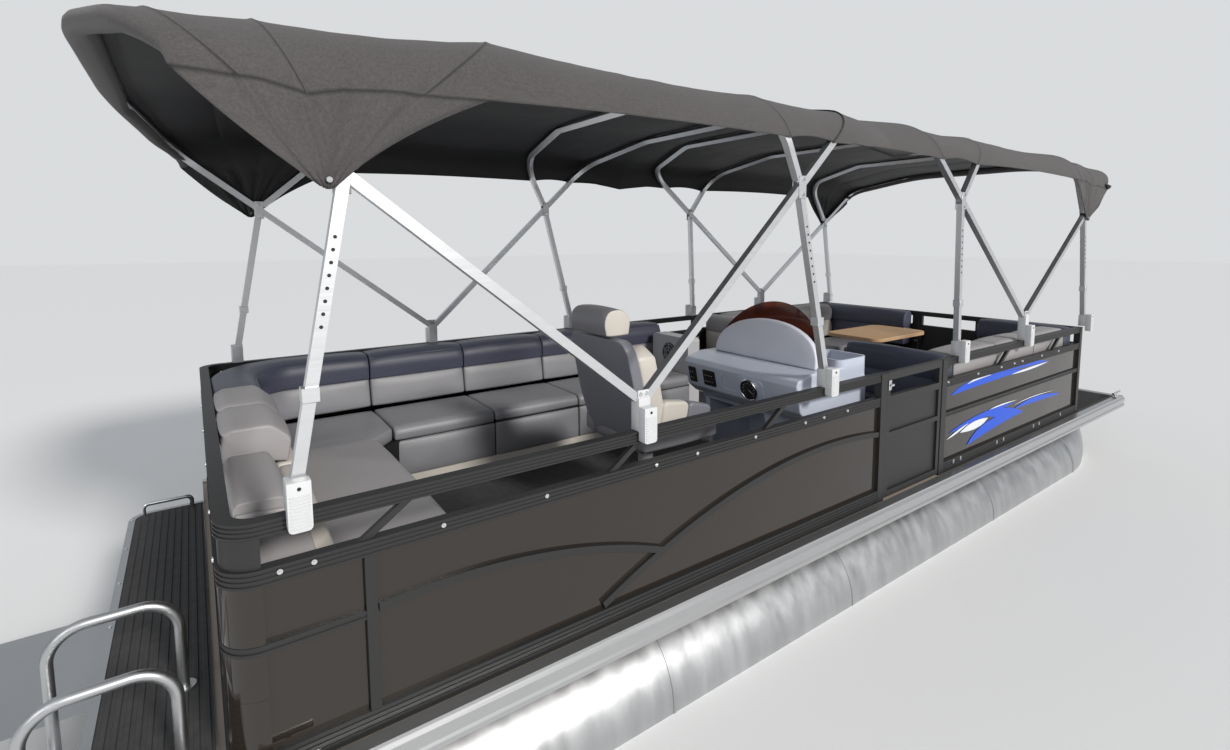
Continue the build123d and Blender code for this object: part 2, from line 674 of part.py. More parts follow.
def with_tray(console):
    """Adds the open tray at the console's starboard fore corner."""
    x0, x1, y0, y1 = 2700.0, 2950.0, CONSOLE_Y[0], -850.0
    wall, low, floor, high = 13.0, DECK + 440, DECK + 600, DECK + 775
    tray = block(x0, x1, y0, y1, low, high)
    tray = fillet(tray.edges().filter_by(Axis.Z), 45)
    hollow = block(x0 + wall, x1 - wall, y0 + wall, y1 - wall, floor, high + 1)
    return console + tray - fillet(hollow.edges().filter_by(Axis.Z), 45 - wall)


def console_pad():
    """The upholstered arch on top of the console, leaning forward."""
    y0, y1 = CONSOLE_Y[0] + 40, CONSOLE_Y[1] - 60
    mid = (y0 + y1) / 2
    arc = ThreePointArc((0, y0, 0), (0, mid, 225), (0, y1, 0))
    skirt = Polyline((0, y1, 0), (0, y1, -30), (0, y0, -30), (0, y0, 0))
    face = make_face([arc, *skirt.edges()])
    arch_pad = Pos(2540, 0, CONSOLE_TOP) * Rot(0, 12, 0) * extrude(face, 30, dir=(1, 0, 0))
    return arch_pad & block(2300, 2900, y0 - 1, y1 + 1, CONSOLE_TOP, CONSOLE_TOP + 400)


def windscreen():
    """A tinted screen bent round the front of the console pad, with an arched top."""
    y0, y1 = CONSOLE_Y[0] + 10, CONSOLE_Y[1] - 20
    mid, bend = (y0 + y1) / 2, 900.0
    arc = ThreePointArc((0, y0, 0), (0, mid, 315), (0, y1, 0))
    face = make_face([arc, Line((0, y1, 0), (0, y0, 0))])
    arch_block = Pos(2500, 0, CONSOLE_TOP) * extrude(face, 400, dir=(1, 0, 0))
    shell = Pos(2690 - bend, mid, CONSOLE_TOP) * (Cylinder(bend, 900) - Cylinder(bend - 5, 900))
    return arch_block & shell & block(2400, 2800, y0 - 1, y1 + 1, CONSOLE_TOP, CONSOLE_TOP + 400)


def switch_panels():
    """Two blocks of rocker switches on the dash."""
    panels = []
    for y, columns in ((-352, 2), (-490, 4)):
        width = 18.0 * columns + 22
        block_face = DASH * Pos(y, 0, 0) * extrude(RectangleRounded(width, 92, 6), 6)
        for i in range(columns):
            for up in (-21, 21):
                at = Pos(y + 18.0 * (i - (columns - 1) / 2), up, 6)
                block_face += DASH * at * extrude(RectangleRounded(14, 34, 3), 4, taper=12)
        panels.append(block_face)
    return Compound(children=panels)


def gauge():
    """The round instrument on its raised boss."""
    dial = DASH * Pos(-800, 0, 8) * extrude(Circle(50), 9)
    return dial + DASH * Pos(-800, 0, 8) * (extrude(Circle(56), 12) - extrude(Circle(47), 12))


def chair_pedestal():
    foot = Pos(CHAIR_X, CHAIR_Y, DECK + 6) * Cylinder(170, 12)
    column = Pos(CHAIR_X, CHAIR_Y, DECK + 200) * Cylinder(38, 400)
    return fillet(foot.edges().group_by(Axis.Z)[-1], 5) + column


CHAIR_X = 1850.0
CHAIR_Y = -560.0
CHAIR_SEAT = DECK + 530.0


def helm_chair_seat():
    """Seat pad on its plate; the sides rise to short bolsters."""
    plate = block(CHAIR_X - 200, CHAIR_X + 200, CHAIR_Y - 160, CHAIR_Y + 160, DECK + 403, DECK + 415)
    cushion = block(CHAIR_X - 215, CHAIR_X + 270, CHAIR_Y - 255, CHAIR_Y + 255, DECK + 415, CHAIR_SEAT)
    cushion = fillet(cushion.edges().group_by(Axis.Z)[-1], 35)
    return plate + cushion


def helm_chair_back():
    """A bucket back, leaning aft."""
    side = [(-225, 480), (-330, 940), (-250, 950), (-120, 560), (-140, 531), (-215, 531), (-216, 480)]
    points = [(CHAIR_X + x, DECK + z) for x, z in side]
    back = slab(points, CHAIR_Y - 260, CHAIR_Y + 260)
    return back


def helm_chair_headrest():
    points = [(CHAIR_X - 335, DECK + 955), (CHAIR_X - 350, DECK + 1060), (CHAIR_X - 300, DECK + 1090),
              (CHAIR_X - 230, DECK + 1070), (CHAIR_X - 205, DECK + 960)]
    return slab(points, CHAIR_Y - 170, CHAIR_Y + 170)


# Table
TABLE_X, TABLE_Y, TABLE_TOP = 4750.0, -60.0, DECK + 610.0


def table_top():
    """A slatted top with rounded corners: seven grooves inside a plain border."""
    length, width, thick, border = 760.0, 500.0, 28.0, 48.0
    top = Pos(TABLE_X, TABLE_Y, TABLE_TOP - thick / 2) * Box(length, width, thick)
    top = fillet(top.edges().filter_by(Axis.Z), 90)
    top = fillet(top.edges().group_by(Axis.Z)[-1], 5)
    for i in range(7):
        y = TABLE_Y + (i - 3) * (width - 2 * border) / 7
        reach = length / 2 - border
        top -= block(TABLE_X - reach, TABLE_X + reach, y - 2.5, y + 2.5, TABLE_TOP - 5, TABLE_TOP + 1)
    return top


def table_leg():
    leg = Pos(TABLE_X, TABLE_Y, (DECK + TABLE_TOP - 28) / 2) * Cylinder(30, TABLE_TOP - 28 - DECK)
    leg += Pos(TABLE_X, TABLE_Y, DECK + 5) * Cylinder(95, 10)
    leg += Pos(TABLE_X, TABLE_Y, TABLE_TOP - 34) * Cylinder(80, 12)
    return leg


# Sun tops. Each top, aft first: mid mount, knuckles, crown heights of the main bows, crown stations of the
# secondary bows, and the legs' stations at foot and knuckle
TOPS = {
    "aft": dict(mount=(1335, 800), knuckles=[(340, 1585), (2230, 1640)], main_crowns=[2030, CROWN],
                inner_crowns=[920, 2000], legs=[(190, 340), (2450, 2230)]),
    "forward": dict(mount=(4700, 850), knuckles=[(3720, 1630), (5710, 1580)], main_crowns=[CROWN, 2060],
                    inner_crowns=[4080, 5360], legs=[(3760, 3720), (5850, 5710)]),
}
CANOPY_HALF = TOP_HALF + TUBE_W / 2 + 12
CANOPY_T = 8.0
# The canopies' held lines: station and height of the crown, lean along the boat for each mm of drop, height
# of the hem
AFT_CLOTH = [(-262, 2066, 0.81, 1850), (920, 2148, -1.1, 1820), (2000, 2148, 0.49, 1850),
             (2790, 2146, -0.95, 1850)]
JOINT_CLOTH = [(2793, 2146, -0.95, 1850), (3082, 2146, 1.1, 1850)]
FORWARD_CLOTH = [(3085, 2146, 1.1, 1850), (4080, 2148, -0.75, 1850), (5360, 2148, 0.66, 1850),
                 (6415, 2096, -0.98, 1850)]
# Their pointed side flaps at the knuckles of the endmost bows, (x, z)
AFT_FLAP = [(-88, 1855), (20, 1770), (125, 1670), (200, 1610), (310, 1540), (465, 1625), (620, 1735),
            (760, 1835)]
FORWARD_FLAP = [(5440, 1862), (5490, 1770), (5590, 1650), (5720, 1540), (5930, 1650), (6100, 1770),
                (6170, 1855)]
FOOT_TOP = 790.0


def bow_path(start, toward, crown):
    """A bow over the boat in the plane through start and toward, both (x, z); returns a swept square tube."""
    dx, dz = toward[0] - start[0], toward[1] - start[1]
    length = math.hypot(dx, dz)
    rise = (crown - start[1]) * length / dz
    shoulder = (crown - 130 - start[1]) * length / dz
    normal = Vector(0, 1, 0).cross(Vector(dx, 0, dz))
    plane = Plane(origin=(start[0], 0, DECK + start[1]), x_dir=(0, 1, 0), z_dir=normal)
    h = TOP_HALF
    corners = [(-h, 0), (-h, shoulder), (-FLAT_HALF, rise), (FLAT_HALF, rise), (h, shoulder), (h, 0)]
    path = FilletPolyline(*corners, radius=240)
    path = plane * path
    section = Plane(origin=path @ 0, x_dir=(0, 1, 0), z_dir=path % 0) * Rectangle(TUBE_W, TUBE_W)
    return sweep(section, path)


def top_main_bows(name):
    """The two bows that run from the mid mounts through the knuckles and over."""
    top = TOPS[name]
    mx, mz = top["mount"]
    bows = []
    for i, (kx, kz) in enumerate(top["knuckles"]):
        shift = -22 if i == 0 else 22
        bows.append(bow_path((mx + shift, mz + 20), (kx, kz), top["main_crowns"][i]))
    return Compound(children=bows)


def top_inner_bows(name):
    """The two lighter bows that stand on the knuckles."""
    top = TOPS[name]
    bows = []
    for (kx, kz), crown_x in zip(top["knuckles"], top["inner_crowns"]):
        direction = Vector(crown_x - kx, 0, CROWN - kz).normalized()
        start = (kx + direction.X * 30, kz + direction.Z * 30)
        bows.append(bow_path(start, (crown_x, CROWN), CROWN))
    mains = top_main_bows(name)
    return Compound(children=[b - mains for b in bows])


def top_frame(name):
    """All tubes of one top."""
    return group(top_main_bows(name), top_inner_bows(name), top_legs(name))


def top_legs(name):
    """The four legs from the knuckles down to the feet."""
    top = TOPS[name]
    legs = []
    for (foot_x, knee_x), (kx, kz) in zip(top["legs"], top["knuckles"]):
        for s in (-1, 1):
            y = s * TOP_HALF
            legs.append(bar((foot_x, y, DECK + FOOT_TOP - 30), (kx, y, DECK + kz - 22), TUBE_W, TUBE_W))
    mains = top_main_bows(name)
    return Compound(children=[leg - mains for leg in legs])


def foot(x, s, low, high, width):
    """A ribbed bracket clamped over the grab rail."""
    y = s * (FENCE_HALF + 18)
    y0, y1 = sorted((s * (FENCE_HALF - 2.5), s * (FENCE_HALF + 32)))
    plate = block(x - width / 2, x + width / 2, y0, y1, DECK + low, DECK + high)
    y2, y3 = sorted((s * (FENCE_HALF - 51), s * (FENCE_HALF - 2.5)))
    cap = block(x - width / 2, x + width / 2, y2, y3, GRAB_HIGH, DECK + high)
    plate = fillet(plate.edges().filter_by(Axis.Y).group_by(Axis.Z)[0], 16)
    bracket = plate + cap
    for i in range(5):
        z = DECK + low + 12 + i * 22
        y4, y5 = sorted((s * (FENCE_HALF + 28), s * (FENCE_HALF + 33)))
        bracket -= block(x - width, x + width, y4, y5, z, z + 8)
    return bracket


def top_feet(name):
    top = TOPS[name]
    mains, legs = top_main_bows(name), top_legs(name)
    feet = []
    for s in (-1, 1):
        for foot_x, knee_x in top["legs"]:
            feet.append(foot(foot_x, s, 640, FOOT_TOP, 80) - legs)
        mx, mz = top["mount"]
        feet.append(foot(mx, s, 600, mz + 10, 90) - mains)
    return Compound(children=feet)


def canopy_line(x, crown, lean, hem, inset):
    """The canopy's section across the boat in its leaning plane, moved in by inset."""
    stretch = math.hypot(1, lean)
    plane = Plane(origin=(x, 0, DECK + crown), x_dir=(0, 1, 0), z_dir=(1, 0, lean))
    half, shoulder, top = CANOPY_HALF - inset, -(135 + inset) * stretch, -inset * stretch
    foot = (hem - crown) * stretch
    corner = 120 - inset
    flat = FLAT_HALF + 10
    corners = [(-half, foot), (-half, shoulder), (-flat, top), (flat, top), (half, shoulder), (half, foot)]
    return plane * FilletPolyline(*corners, radius=[corner, 500, 500, corner])


def canopy(lines, flap=None):
    """A cloth cover as a thin shell over its held lines, open below, with a pointed flap on each side."""
    outer, inner = [], []
    for x, crown, lean, hem in lines:
        for inset, drop, faces in ((0, 0, outer), (CANOPY_T, 20, inner)):
            line = canopy_line(x, crown, lean, hem - drop, inset)
            faces.append(make_face([*line.edges(), Line(line @ 1, line @ 0)]))
    cloth = loft(outer, ruled=True) - loft(inner, ruled=True)
    if flap:
        side = slab([(x, DECK + z) for x, z in flap], -CANOPY_HALF, -CANOPY_HALF + CANOPY_T)
        cloth += [side, mirrored(side)]
    return cloth


# Outboard motor: made upright, pivot at the origin, the boat towards +X
def motor_pose(shape):
    return Pos(*PIVOT) * Rot(0, TILT, 0) * shape


def clamp_bracket():
    """Two plates hooked over the transom with the tilt tube between them."""
    face, hook = TRANSOM_X - PIVOT[0], TRANSOM_TOP - PIVOT[2]
    side = [(-32, -10), (-10, -60), (face, -300), (face, hook), (face + 50, hook), (face + 50, hook - 50),
            (face + 64, hook - 50), (face + 64, 6), (face, 12), (-20, 32), (-32, 20)]
    bracket = rod((0, -105, 0), (0, 105, 0), 16)
    for y in (-105, 90):
        bracket += slab(side, y, y + 15)
    return bracket


def swivel_bracket():
    """The tilting block with the steering tube."""
    body = slab([(-30, 45), (-30, -190), (-110, -190), (-110, 50)], -40, 40)
    body += slab([(10, 25), (10, -25), (-40, -40), (-40, 40)], -80, 80)
    body += rod((0, -80, 0), (0, 80, 0), 30)
    body -= rod((0, -90, 0), (0, 90, 0), 16.3)
    body -= Pos(STEER_X, 0, -60) * Cylinder(25.3, 400)
    return body


def motor_leg():
    """Steering shaft, mid section, gearcase, anti-cavitation plate and skeg."""
    leg = Pos(STEER_X, 0, -62) * Cylinder(25, 344)
    leg += slab([(-132, 110), (-132, -235), (-150, -470), (-340, -470), (-310, -235), (-320, 110)], -48, 48)
    leg += block(-200, STEER_X + 30, -40, 40, -236, -198)
    leg += block(-200, STEER_X + 30, -40, 40, 58, 110)
    leg += Pos(-200, 0, 110) * extrude(RectangleRounded(330, 250, 60), 12)
    leg += slab([(-100, -470), (-100, -482), (-500, -482), (-500, -470)], -95, 95)
    leg += slab([(-130, -482), (-170, -640), (-340, -640), (-360, -482)], -22, 22)
    bullet = rod((-130, 0, -640), (-370, 0, -640), 46)
    nose = Plane(origin=(-130, 0, -640), z_dir=(1, 0, 0))
    leg += bullet + loft([nose * Circle(46), nose.offset(70) * Circle(14)])
    leg += slab([(-170, -670), (-350, -670), (-350, -780), (-290, -790)], -7, 7)
    return leg


def motor_cowl():
    """The engine cover: a rounded hood over a stepped lower edge."""
    # height, shift aft, length, width, corner radius
    stations = [(122, 0, 356, 262, 70), (150, 0, 396, 318, 90), (250, 4, 424, 344, 110),
                (380, -6, 416, 330, 110), (470, -26, 352, 276, 100)]
    faces = []
    for z, dx, length, width, r in stations:
        faces.append(Plane(origin=(-200 + dx, 0, z)) * RectangleRounded(length, width, r))
    hood = loft(faces)
    hood = fillet(hood.edges().group_by(Axis.Z)[-1], 34)
    groove = Box(500, 400, 7) - extrude(RectangleRounded(400, 322, 92), 20, both=True)
    return hood - Pos(-200, 0, 186) * groove


def propeller():
    """Three twisted blades on a hub."""
    hub_x, axis_z = -424.0, -640.0
    # distance from the axis, chord, thickness, pitch angle
    sections = [(34, 62, 11, 56), (80, 104, 8, 41), (122, 104, 6, 31), (148, 48, 4, 27)]
    faces = []
    for r, chord, thick, pitch in sections:
        angle = math.radians(pitch)
        plane = Plane(origin=(0, 0, r), x_dir=(math.sin(angle), math.cos(angle), 0), z_dir=(0, 0, 1))
        faces.append(plane * Ellipse(chord / 2, thick / 2))
    blade = loft(faces)
    screw = rod((-372, 0, axis_z), (-475, 0, axis_z), 42)
    for i in range(3):
        screw += Pos(hub_x, 0, axis_z) * Rot(i * 120, 0, 0) * blade
    return screw


# Ladder on the swim platform: two hooped rails at LADDER_Y, treads below the platform's edge
LADDER_Y = (-1050.0, -690.0)
LADDER_X = -400.0
LADDER_LOW = 385.0
LADDER_HINGE_X = LADDER_X - 55.0


def ladder_upper():
    """Hooped side rails over the platform's edge with two treads and the lower section's pins."""
    ladder = None
    y0, y1 = LADDER_Y
    for y, inward in ((y0, 1), (y1, -1)):
        path = FilletPolyline((-95, y, DECK + 0.5), (-95, y, DECK + 300), (LADDER_X, y, DECK + 300),
                              (LADDER_X, y, LADDER_LOW - 40), radius=95)
        hoop = sweep(Plane(origin=path @ 0, x_dir=(0, 1, 0), z_dir=path % 0) * Circle(15), path)
        hoop += Pos(-95, y, DECK + 4) * Cylinder(32, 7)
        y2, y3 = sorted((y + inward * 8, y + inward * 24))
        hoop += block(LADDER_HINGE_X - 14, LADDER_X, y2, y3, LADDER_LOW - 14, LADDER_LOW + 14)
        hoop += rod((LADDER_HINGE_X, y2, LADDER_LOW), (LADDER_HINGE_X, y3, LADDER_LOW), 6)
        y4, y5 = sorted((y3 if inward > 0 else y2, (y3 if inward > 0 else y2) + inward * 18))
        hoop += rod((LADDER_HINGE_X, y4, LADDER_LOW), (LADDER_HINGE_X, y5, LADDER_LOW), 6)
        ladder = hoop if ladder is None else ladder + hoop
    for z in (620, 410):
        ladder += block(LADDER_X - 34, LADDER_X + 40, y0, y1, z, z + 22)
    return ladder


def ladder_lower():
    """The folded lower section: two rails and two treads, hinged outside the upper treads."""
    ladder = None
    y0, y1 = LADDER_Y[0] + 26, LADDER_Y[1] - 26
    for y in (y0, y1 - 14):
        rail = block(LADDER_HINGE_X - 12, LADDER_HINGE_X + 12, y, y + 14, LADDER_LOW - 14, LADDER_LOW + 375)
        rail -= rod((LADDER_HINGE_X, y - 1, LADDER_LOW), (LADDER_HINGE_X, y + 15, LADDER_LOW), 6.3)
        ladder = rail if ladder is None else ladder + rail
    for z in (LADDER_LOW + 180, LADDER_LOW + 350):
        ladder += block(LADDER_HINGE_X - 70, LADDER_HINGE_X + 12, y0, y1, z, z + 20)
    return ladder


def parts():
    """Every node by name."""
    tube = pontoon()
    return {
        "starboard_pontoon": tube,
        "port_pontoon": mirrored(tube),
        "pontoon_brackets": pontoon_brackets(),
        "towing_eyes": group(towing_eye(), mirrored(towing_eye())),
        "cross_members": cross_members(),
        "deck_floor": deck_floor(),
        "deck_mats": deck_mats(),
        "rub_rails": rub_rails(),
        "swim_platform": swim_platform(),
        "platform_grab_rail": platform_grab_rail(),
        "mooring_cleats": mooring_cleats(),
        "motor_pod": motor_pod(),
        "fence_frame_stern": fence_frame_stern(),
        "fence_frame_starboard": fence_frame_starboard(),
        "fence_frame_port": fence_frame_port(),
        "fence_frame_bow": group(bow_fence(STARBOARD, SIDE_GATE[1], BOW_GATE[0]),
                                 bow_fence(PORT, PORT_GATE[1], BOW_GATE[1])),
        "fence_panels_aft": group(fence_panels_stern(), fence_panels_side(STARBOARD, SIDE_GATE[0]),
                                  fence_panels_side(PORT, PORT_GATE[0])),
        "fence_panels_bow": group(fence_panels_bow(STARBOARD, SIDE_GATE[1], BOW_GATE[0]),
                                  fence_panels_bow(PORT, PORT_GATE[1], BOW_GATE[1])),
        "grab_rail_stern": grab_rail_stern(),
        "grab_rail_sides": group(grab_rail_aft(STARBOARD, SIDE_GATE[0], (335, 1180, 2010)),
                                 grab_rail_aft(PORT, PORT_GATE[0], (335, 1180, 2010))),
        "grab_rail_bow": group(grab_rail_bow(STARBOARD, SIDE_GATE[1], BOW_GATE[0], (4330, 5210)),
                               grab_rail_bow(PORT, PORT_GATE[1], BOW_GATE[1], (4330, 5210))),
        "side_gate": place_gate(gate(GATE_LENGTHS["side"]), "side"),
        "port_gate": place_gate(gate(GATE_LENGTHS["port"]), "port"),
        "bow_gate": place_gate(gate(GATE_LENGTHS["bow"]), "bow"),
        "gate_hinges": gate_hinges(),
        "lounge_base_aft": lounge_base_aft(),
        "lounge_bases_bow": group(lounge_base_bow_starboard(), lounge_base_bow_port()),
        "aft_seat_cushions": aft_seat_cushions(),
        "port_seat_lid": port_seat_lid(),
        "aft_backrests": aft_backrests(),
        "stern_headrests": stern_headrests(),
        "speaker_pod": speaker_pod(),
        "speaker": speaker(),
        "bow_seat_cushions": bow_seat_cushions(),
        "bow_starboard_seat_lid": bow_starboard_seat_lid(),
        "bow_port_seat_lid": bow_port_seat_lid(),
        "bow_backrests": bow_backrests(),
        "helm_console": helm_console(),
        "console_pad": console_pad(),
        "windscreen": windscreen(),
        "dash_instruments": group(switch_panels(), gauge()),
        "chair_pedestal": chair_pedestal(),
        "helm_chair_seat": helm_chair_seat(),
        "helm_chair_back": group(helm_chair_back(), helm_chair_headrest()),
        "table_top": table_top(),
        "table_leg": table_leg(),
        "top_frame_aft": top_frame("aft"),
        "top_frame_forward": top_frame("forward"),
        "top_feet": group(top_feet("aft"), top_feet("forward")),
        "canopy_aft": canopy(AFT_CLOTH, AFT_FLAP),
        "canopy_joint": canopy(JOINT_CLOTH),
        "canopy_forward": canopy(FORWARD_CLOTH, FORWARD_FLAP),
        "ladder_upper": ladder_upper(),
        "ladder_lower": ladder_lower(),
        "motor_clamp": Pos(*PIVOT) * clamp_bracket(),
        "motor_swivel": motor_pose(swivel_bracket()),
        "motor_leg": motor_pose(motor_leg()),
        "motor_cowl": motor_pose(motor_cowl()),
        "propeller": motor_pose(propeller()),
    }


if __name__ == "__main__":
    os.makedirs("parts", exist_ok=True)
    for name, shape in parts().items():
        export_step(Pos(-MIDSHIP, 0, 0) * shape, f"parts/{name}.step")
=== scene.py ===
"""Finish, upholstery and canvas of a pontoon boat.

Metres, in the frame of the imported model: X runs towards the bow, Y to port and Z up from the keels.
A place along the boat is a station, counted forward from the stern fence's outer face, and a height
is counted from the top of the deck mat.
"""

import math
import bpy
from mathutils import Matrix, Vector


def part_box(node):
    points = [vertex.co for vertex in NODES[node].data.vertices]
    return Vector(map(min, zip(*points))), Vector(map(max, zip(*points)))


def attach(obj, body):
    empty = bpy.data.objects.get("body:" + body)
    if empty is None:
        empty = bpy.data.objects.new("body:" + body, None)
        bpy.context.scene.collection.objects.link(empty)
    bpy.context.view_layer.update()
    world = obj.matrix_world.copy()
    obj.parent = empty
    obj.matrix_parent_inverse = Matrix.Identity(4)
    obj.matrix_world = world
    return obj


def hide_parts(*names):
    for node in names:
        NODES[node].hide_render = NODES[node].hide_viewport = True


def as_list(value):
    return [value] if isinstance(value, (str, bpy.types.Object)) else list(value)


bl_info = {
    "name": "Pontoon boat",
    "version": (1, 0, 0),
    "blender": (4, 5, 0),
    "location": "View3D > Sidebar > Boat",
    "description": "Finishes a pontoon boat: metal, moulding, upholstery, canvas and fittings",
    "category": "Object",
}

import bmesh
import bpy
from bpy.props import FloatProperty, FloatVectorProperty, PointerProperty
from mathutils import Matrix, Vector, noise

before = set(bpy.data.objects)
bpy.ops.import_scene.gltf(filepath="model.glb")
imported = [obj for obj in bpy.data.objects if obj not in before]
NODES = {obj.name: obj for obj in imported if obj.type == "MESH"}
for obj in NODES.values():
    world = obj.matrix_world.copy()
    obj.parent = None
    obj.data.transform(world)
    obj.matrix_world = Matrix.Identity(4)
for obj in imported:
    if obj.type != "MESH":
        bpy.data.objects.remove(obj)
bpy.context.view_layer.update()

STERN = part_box("fence_frame_stern")[0].x
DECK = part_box("deck_mats")[1].z
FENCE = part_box("fence_frame_stern")[1].y
HULL = "boat"


def station(x):
    """X of a place counted forward from the stern fence."""
    return STERN + x


def over(z):
    """Z of a height counted from the deck."""
    return DECK + z


# Settings


def length(name, default, text):
    """A length among the settings."""
    return FloatProperty(name=name, description=text, default=default, unit="LENGTH")


def colour(name, default, text):
    """A colour among the settings."""
    return FloatVectorProperty(name=name, description=text, default=default, subtype="COLOR", size=3,
                               min=0.0, max=1.0)


class BoatSizes(bpy.types.PropertyGroup):
    """Sizes of what is added to the bare model."""

    waterline: length("Waterline", 0.29, "Height of the water's surface over the keels")
    seat_crown: length("Seat crown", 0.014, "How far a seat pad swells")
    back_crown: length("Back crown", 0.012, "How far a backrest swells")
    welt: length("Sewn edge", 0.012, "Radius of a sewn edge")
    canvas: length("Canvas", 0.0016, "Thickness of the sun tops' cloth")
    canvas_sag: length("Canvas sag", 0.022, "How far the cloth hangs between two bows")
    mat_pitch: length("Mat pitch", 0.026, "Distance between two ribs of the platform's and bow's mats")
    deck_pitch: length("Deck pitch", 0.018, "Distance between two ribs of the deck mat")
    screw: length("Screw head", 0.0085, "Radius of the fence's screw heads")


class BoatColours(bpy.types.PropertyGroup):
    """Colours of the boat's finishes."""

    slate: colour("Slate vinyl", (0.070, 0.075, 0.112), "Rolls of the port lounge, end backs at the bow")
    grey: colour("Grey vinyl", (0.222, 0.222, 0.238), "Seats, lower bands of the port lounge, helm chair")
    pale: colour("Pale vinyl", (0.350, 0.336, 0.340), "Stern lounge and rolls of the bow's backs")
    cream: colour("Cream vinyl", (0.59, 0.555, 0.50), "Lumbar pads, bolsters, bow bands and toe boards")
    black: colour("Fence black", (0.003, 0.003, 0.003), "Rails and gates")
    bronze: colour("Panel bronze", (0.022, 0.017, 0.013), "Fence panels")
    canvas: colour("Canvas", (0.066, 0.061, 0.061), "Cloth of the sun tops")
    aluminium: colour("Aluminium", (0.53, 0.54, 0.55), "Pontoons, cross members, ladder and platform")
    silver: colour("Bow silver", (0.72, 0.73, 0.745), "Tubes of the sun tops")
    white: colour("White moulding", (0.64, 0.65, 0.66), "Feet of the sun tops, marks on the dash")
    console: colour("Console", (0.54, 0.585, 0.69), "Moulded console")
    blue: colour("Stripe blue", (0.006, 0.080, 0.62), "Stripes on the bow's panels")
    teak: colour("Teak", (0.66, 0.285, 0.075), "Table top")
    screen: colour("Screen", (0.13, 0.026, 0.010), "Tinted windscreen")
    mat: colour("Mat", (0.030, 0.031, 0.034), "Ribbed mats")


def sizes():
    """The scene's BoatSizes."""
    return bpy.context.scene.boat_sizes


def colours():
    """The scene's BoatColours."""
    return bpy.context.scene.boat_colours


# Shader groups and materials


def add_node(tree, kind, inputs=None, **settings):
    """A node with its settings and inputs; an input is a value or another node's output."""
    node = tree.nodes.new(kind)
    for key, value in settings.items():
        setattr(node, key, value)
    for key, value in (inputs or {}).items():
        if isinstance(value, bpy.types.NodeSocket):
            tree.links.new(value, node.inputs[key])
        else:
            node.inputs[key].default_value = value
    return node


def calculate(tree, operation, *values):
    """Output of a Math node."""
    return add_node(tree, "ShaderNodeMath", dict(enumerate(values)), operation=operation).outputs[0]


def mix_colours(tree, factor, first, second):
    """Output of a Mix node for two colours."""
    return add_node(tree, "ShaderNodeMix", {0: factor, 6: first, 7: second}, data_type="RGBA").outputs[2]


def object_place(tree):
    """A point's place in its own object."""
    return add_node(tree, "ShaderNodeTexCoord").outputs["Object"]


def cloudy(tree, where, scale, detail, **more):
    """Output of a Noise texture, read at where."""
    inputs = {"Vector": where, "Scale": scale, "Detail": detail, **more}
    return add_node(tree, "ShaderNodeTexNoise", inputs).outputs[0]


def shader_group(name, inputs, outputs, build):
    """A shader node group with float inputs (name, default), built once."""
    if name in bpy.data.node_groups:
        return bpy.data.node_groups[name]
    tree = bpy.data.node_groups.new(name, "ShaderNodeTree")
    for label, default in inputs:
        socket = tree.interface.new_socket(label, in_out="INPUT", socket_type="NodeSocketFloat")
        socket.default_value = default
    for label in outputs:
        tree.interface.new_socket(label, in_out="OUTPUT", socket_type="NodeSocketFloat")
    source = tree.nodes.new("NodeGroupInput")
    results = build(tree, source.outputs, object_place(tree))
    add_node(tree, "NodeGroupOutput", dict(zip(outputs, results)))
    return tree


def build_grain(tree, inputs, where):
    """Leather-like cells with soft creases, and a slow change of tone."""
    cells = add_node(tree, "ShaderNodeTexVoronoi", {"Vector": where, "Scale": inputs["Scale"]})
    creases = cloudy(tree, where, 9.0, 3.0)
    height = calculate(tree, "MULTIPLY_ADD", creases, inputs["Crease"], cells.outputs["Distance"])
    return height, cloudy(tree, where, 2.3, 2.0)


def build_weave(tree, inputs, where):
    """Warp and weft threads, and fading."""
    threads = []
    for way in "XY":
        wave = add_node(tree, "ShaderNodeTexWave",
                        {"Vector": where, "Scale": inputs["Scale"], "Distortion": 0.6}, bands_direction=way)
        threads.append(wave.outputs["Fac"])
    return calculate(tree, "MAXIMUM", *threads), cloudy(tree, where, 1.7, 5.0, Roughness=0.6)


def build_brushed(tree, inputs, where):
    """Fine lines drawn out along one axis, and cloudy patches."""
    stretch = add_node(tree, "ShaderNodeCombineXYZ", {"X": inputs["Along"], "Y": 1.0, "Z": 1.0})
    drawn = add_node(tree, "ShaderNodeVectorMath", {0: where, 1: stretch.outputs[0]}, operation="MULTIPLY")
    lines = cloudy(tree, drawn.outputs[0], inputs["Scale"], 3.0)
    return lines, cloudy(tree, where, 3.1, 6.0, Roughness=0.62)


def build_dust(tree, inputs, where):
    """A thin veil of dust on what faces up."""
    normal = add_node(tree, "ShaderNodeNewGeometry").outputs["Normal"]
    upward = add_node(tree, "ShaderNodeSeparateXYZ", {0: normal}).outputs["Z"]
    speckle = cloudy(tree, where, inputs["Scale"], 8.0)
    lying = calculate(tree, "MULTIPLY", calculate(tree, "MAXIMUM", upward, 0.0), speckle)
    return (calculate(tree, "MULTIPLY", lying, inputs["Amount"]),)


# each shader group: its inputs with their defaults, its outputs, and the function that builds it
GROUPS = {
    "vinyl_grain": ([("Scale", 700.0), ("Crease", 1.5)], ("Height", "Tone"), build_grain),
    "canvas_weave": ([("Scale", 210.0)], ("Height", "Fading"), build_weave),
    "brushed_metal": ([("Along", 0.02), ("Scale", 220.0)], ("Lines", "Clouds"), build_brushed),
    "settled_dust": ([("Amount", 0.2), ("Scale", 40.0)], ("Veil",), build_dust),
}


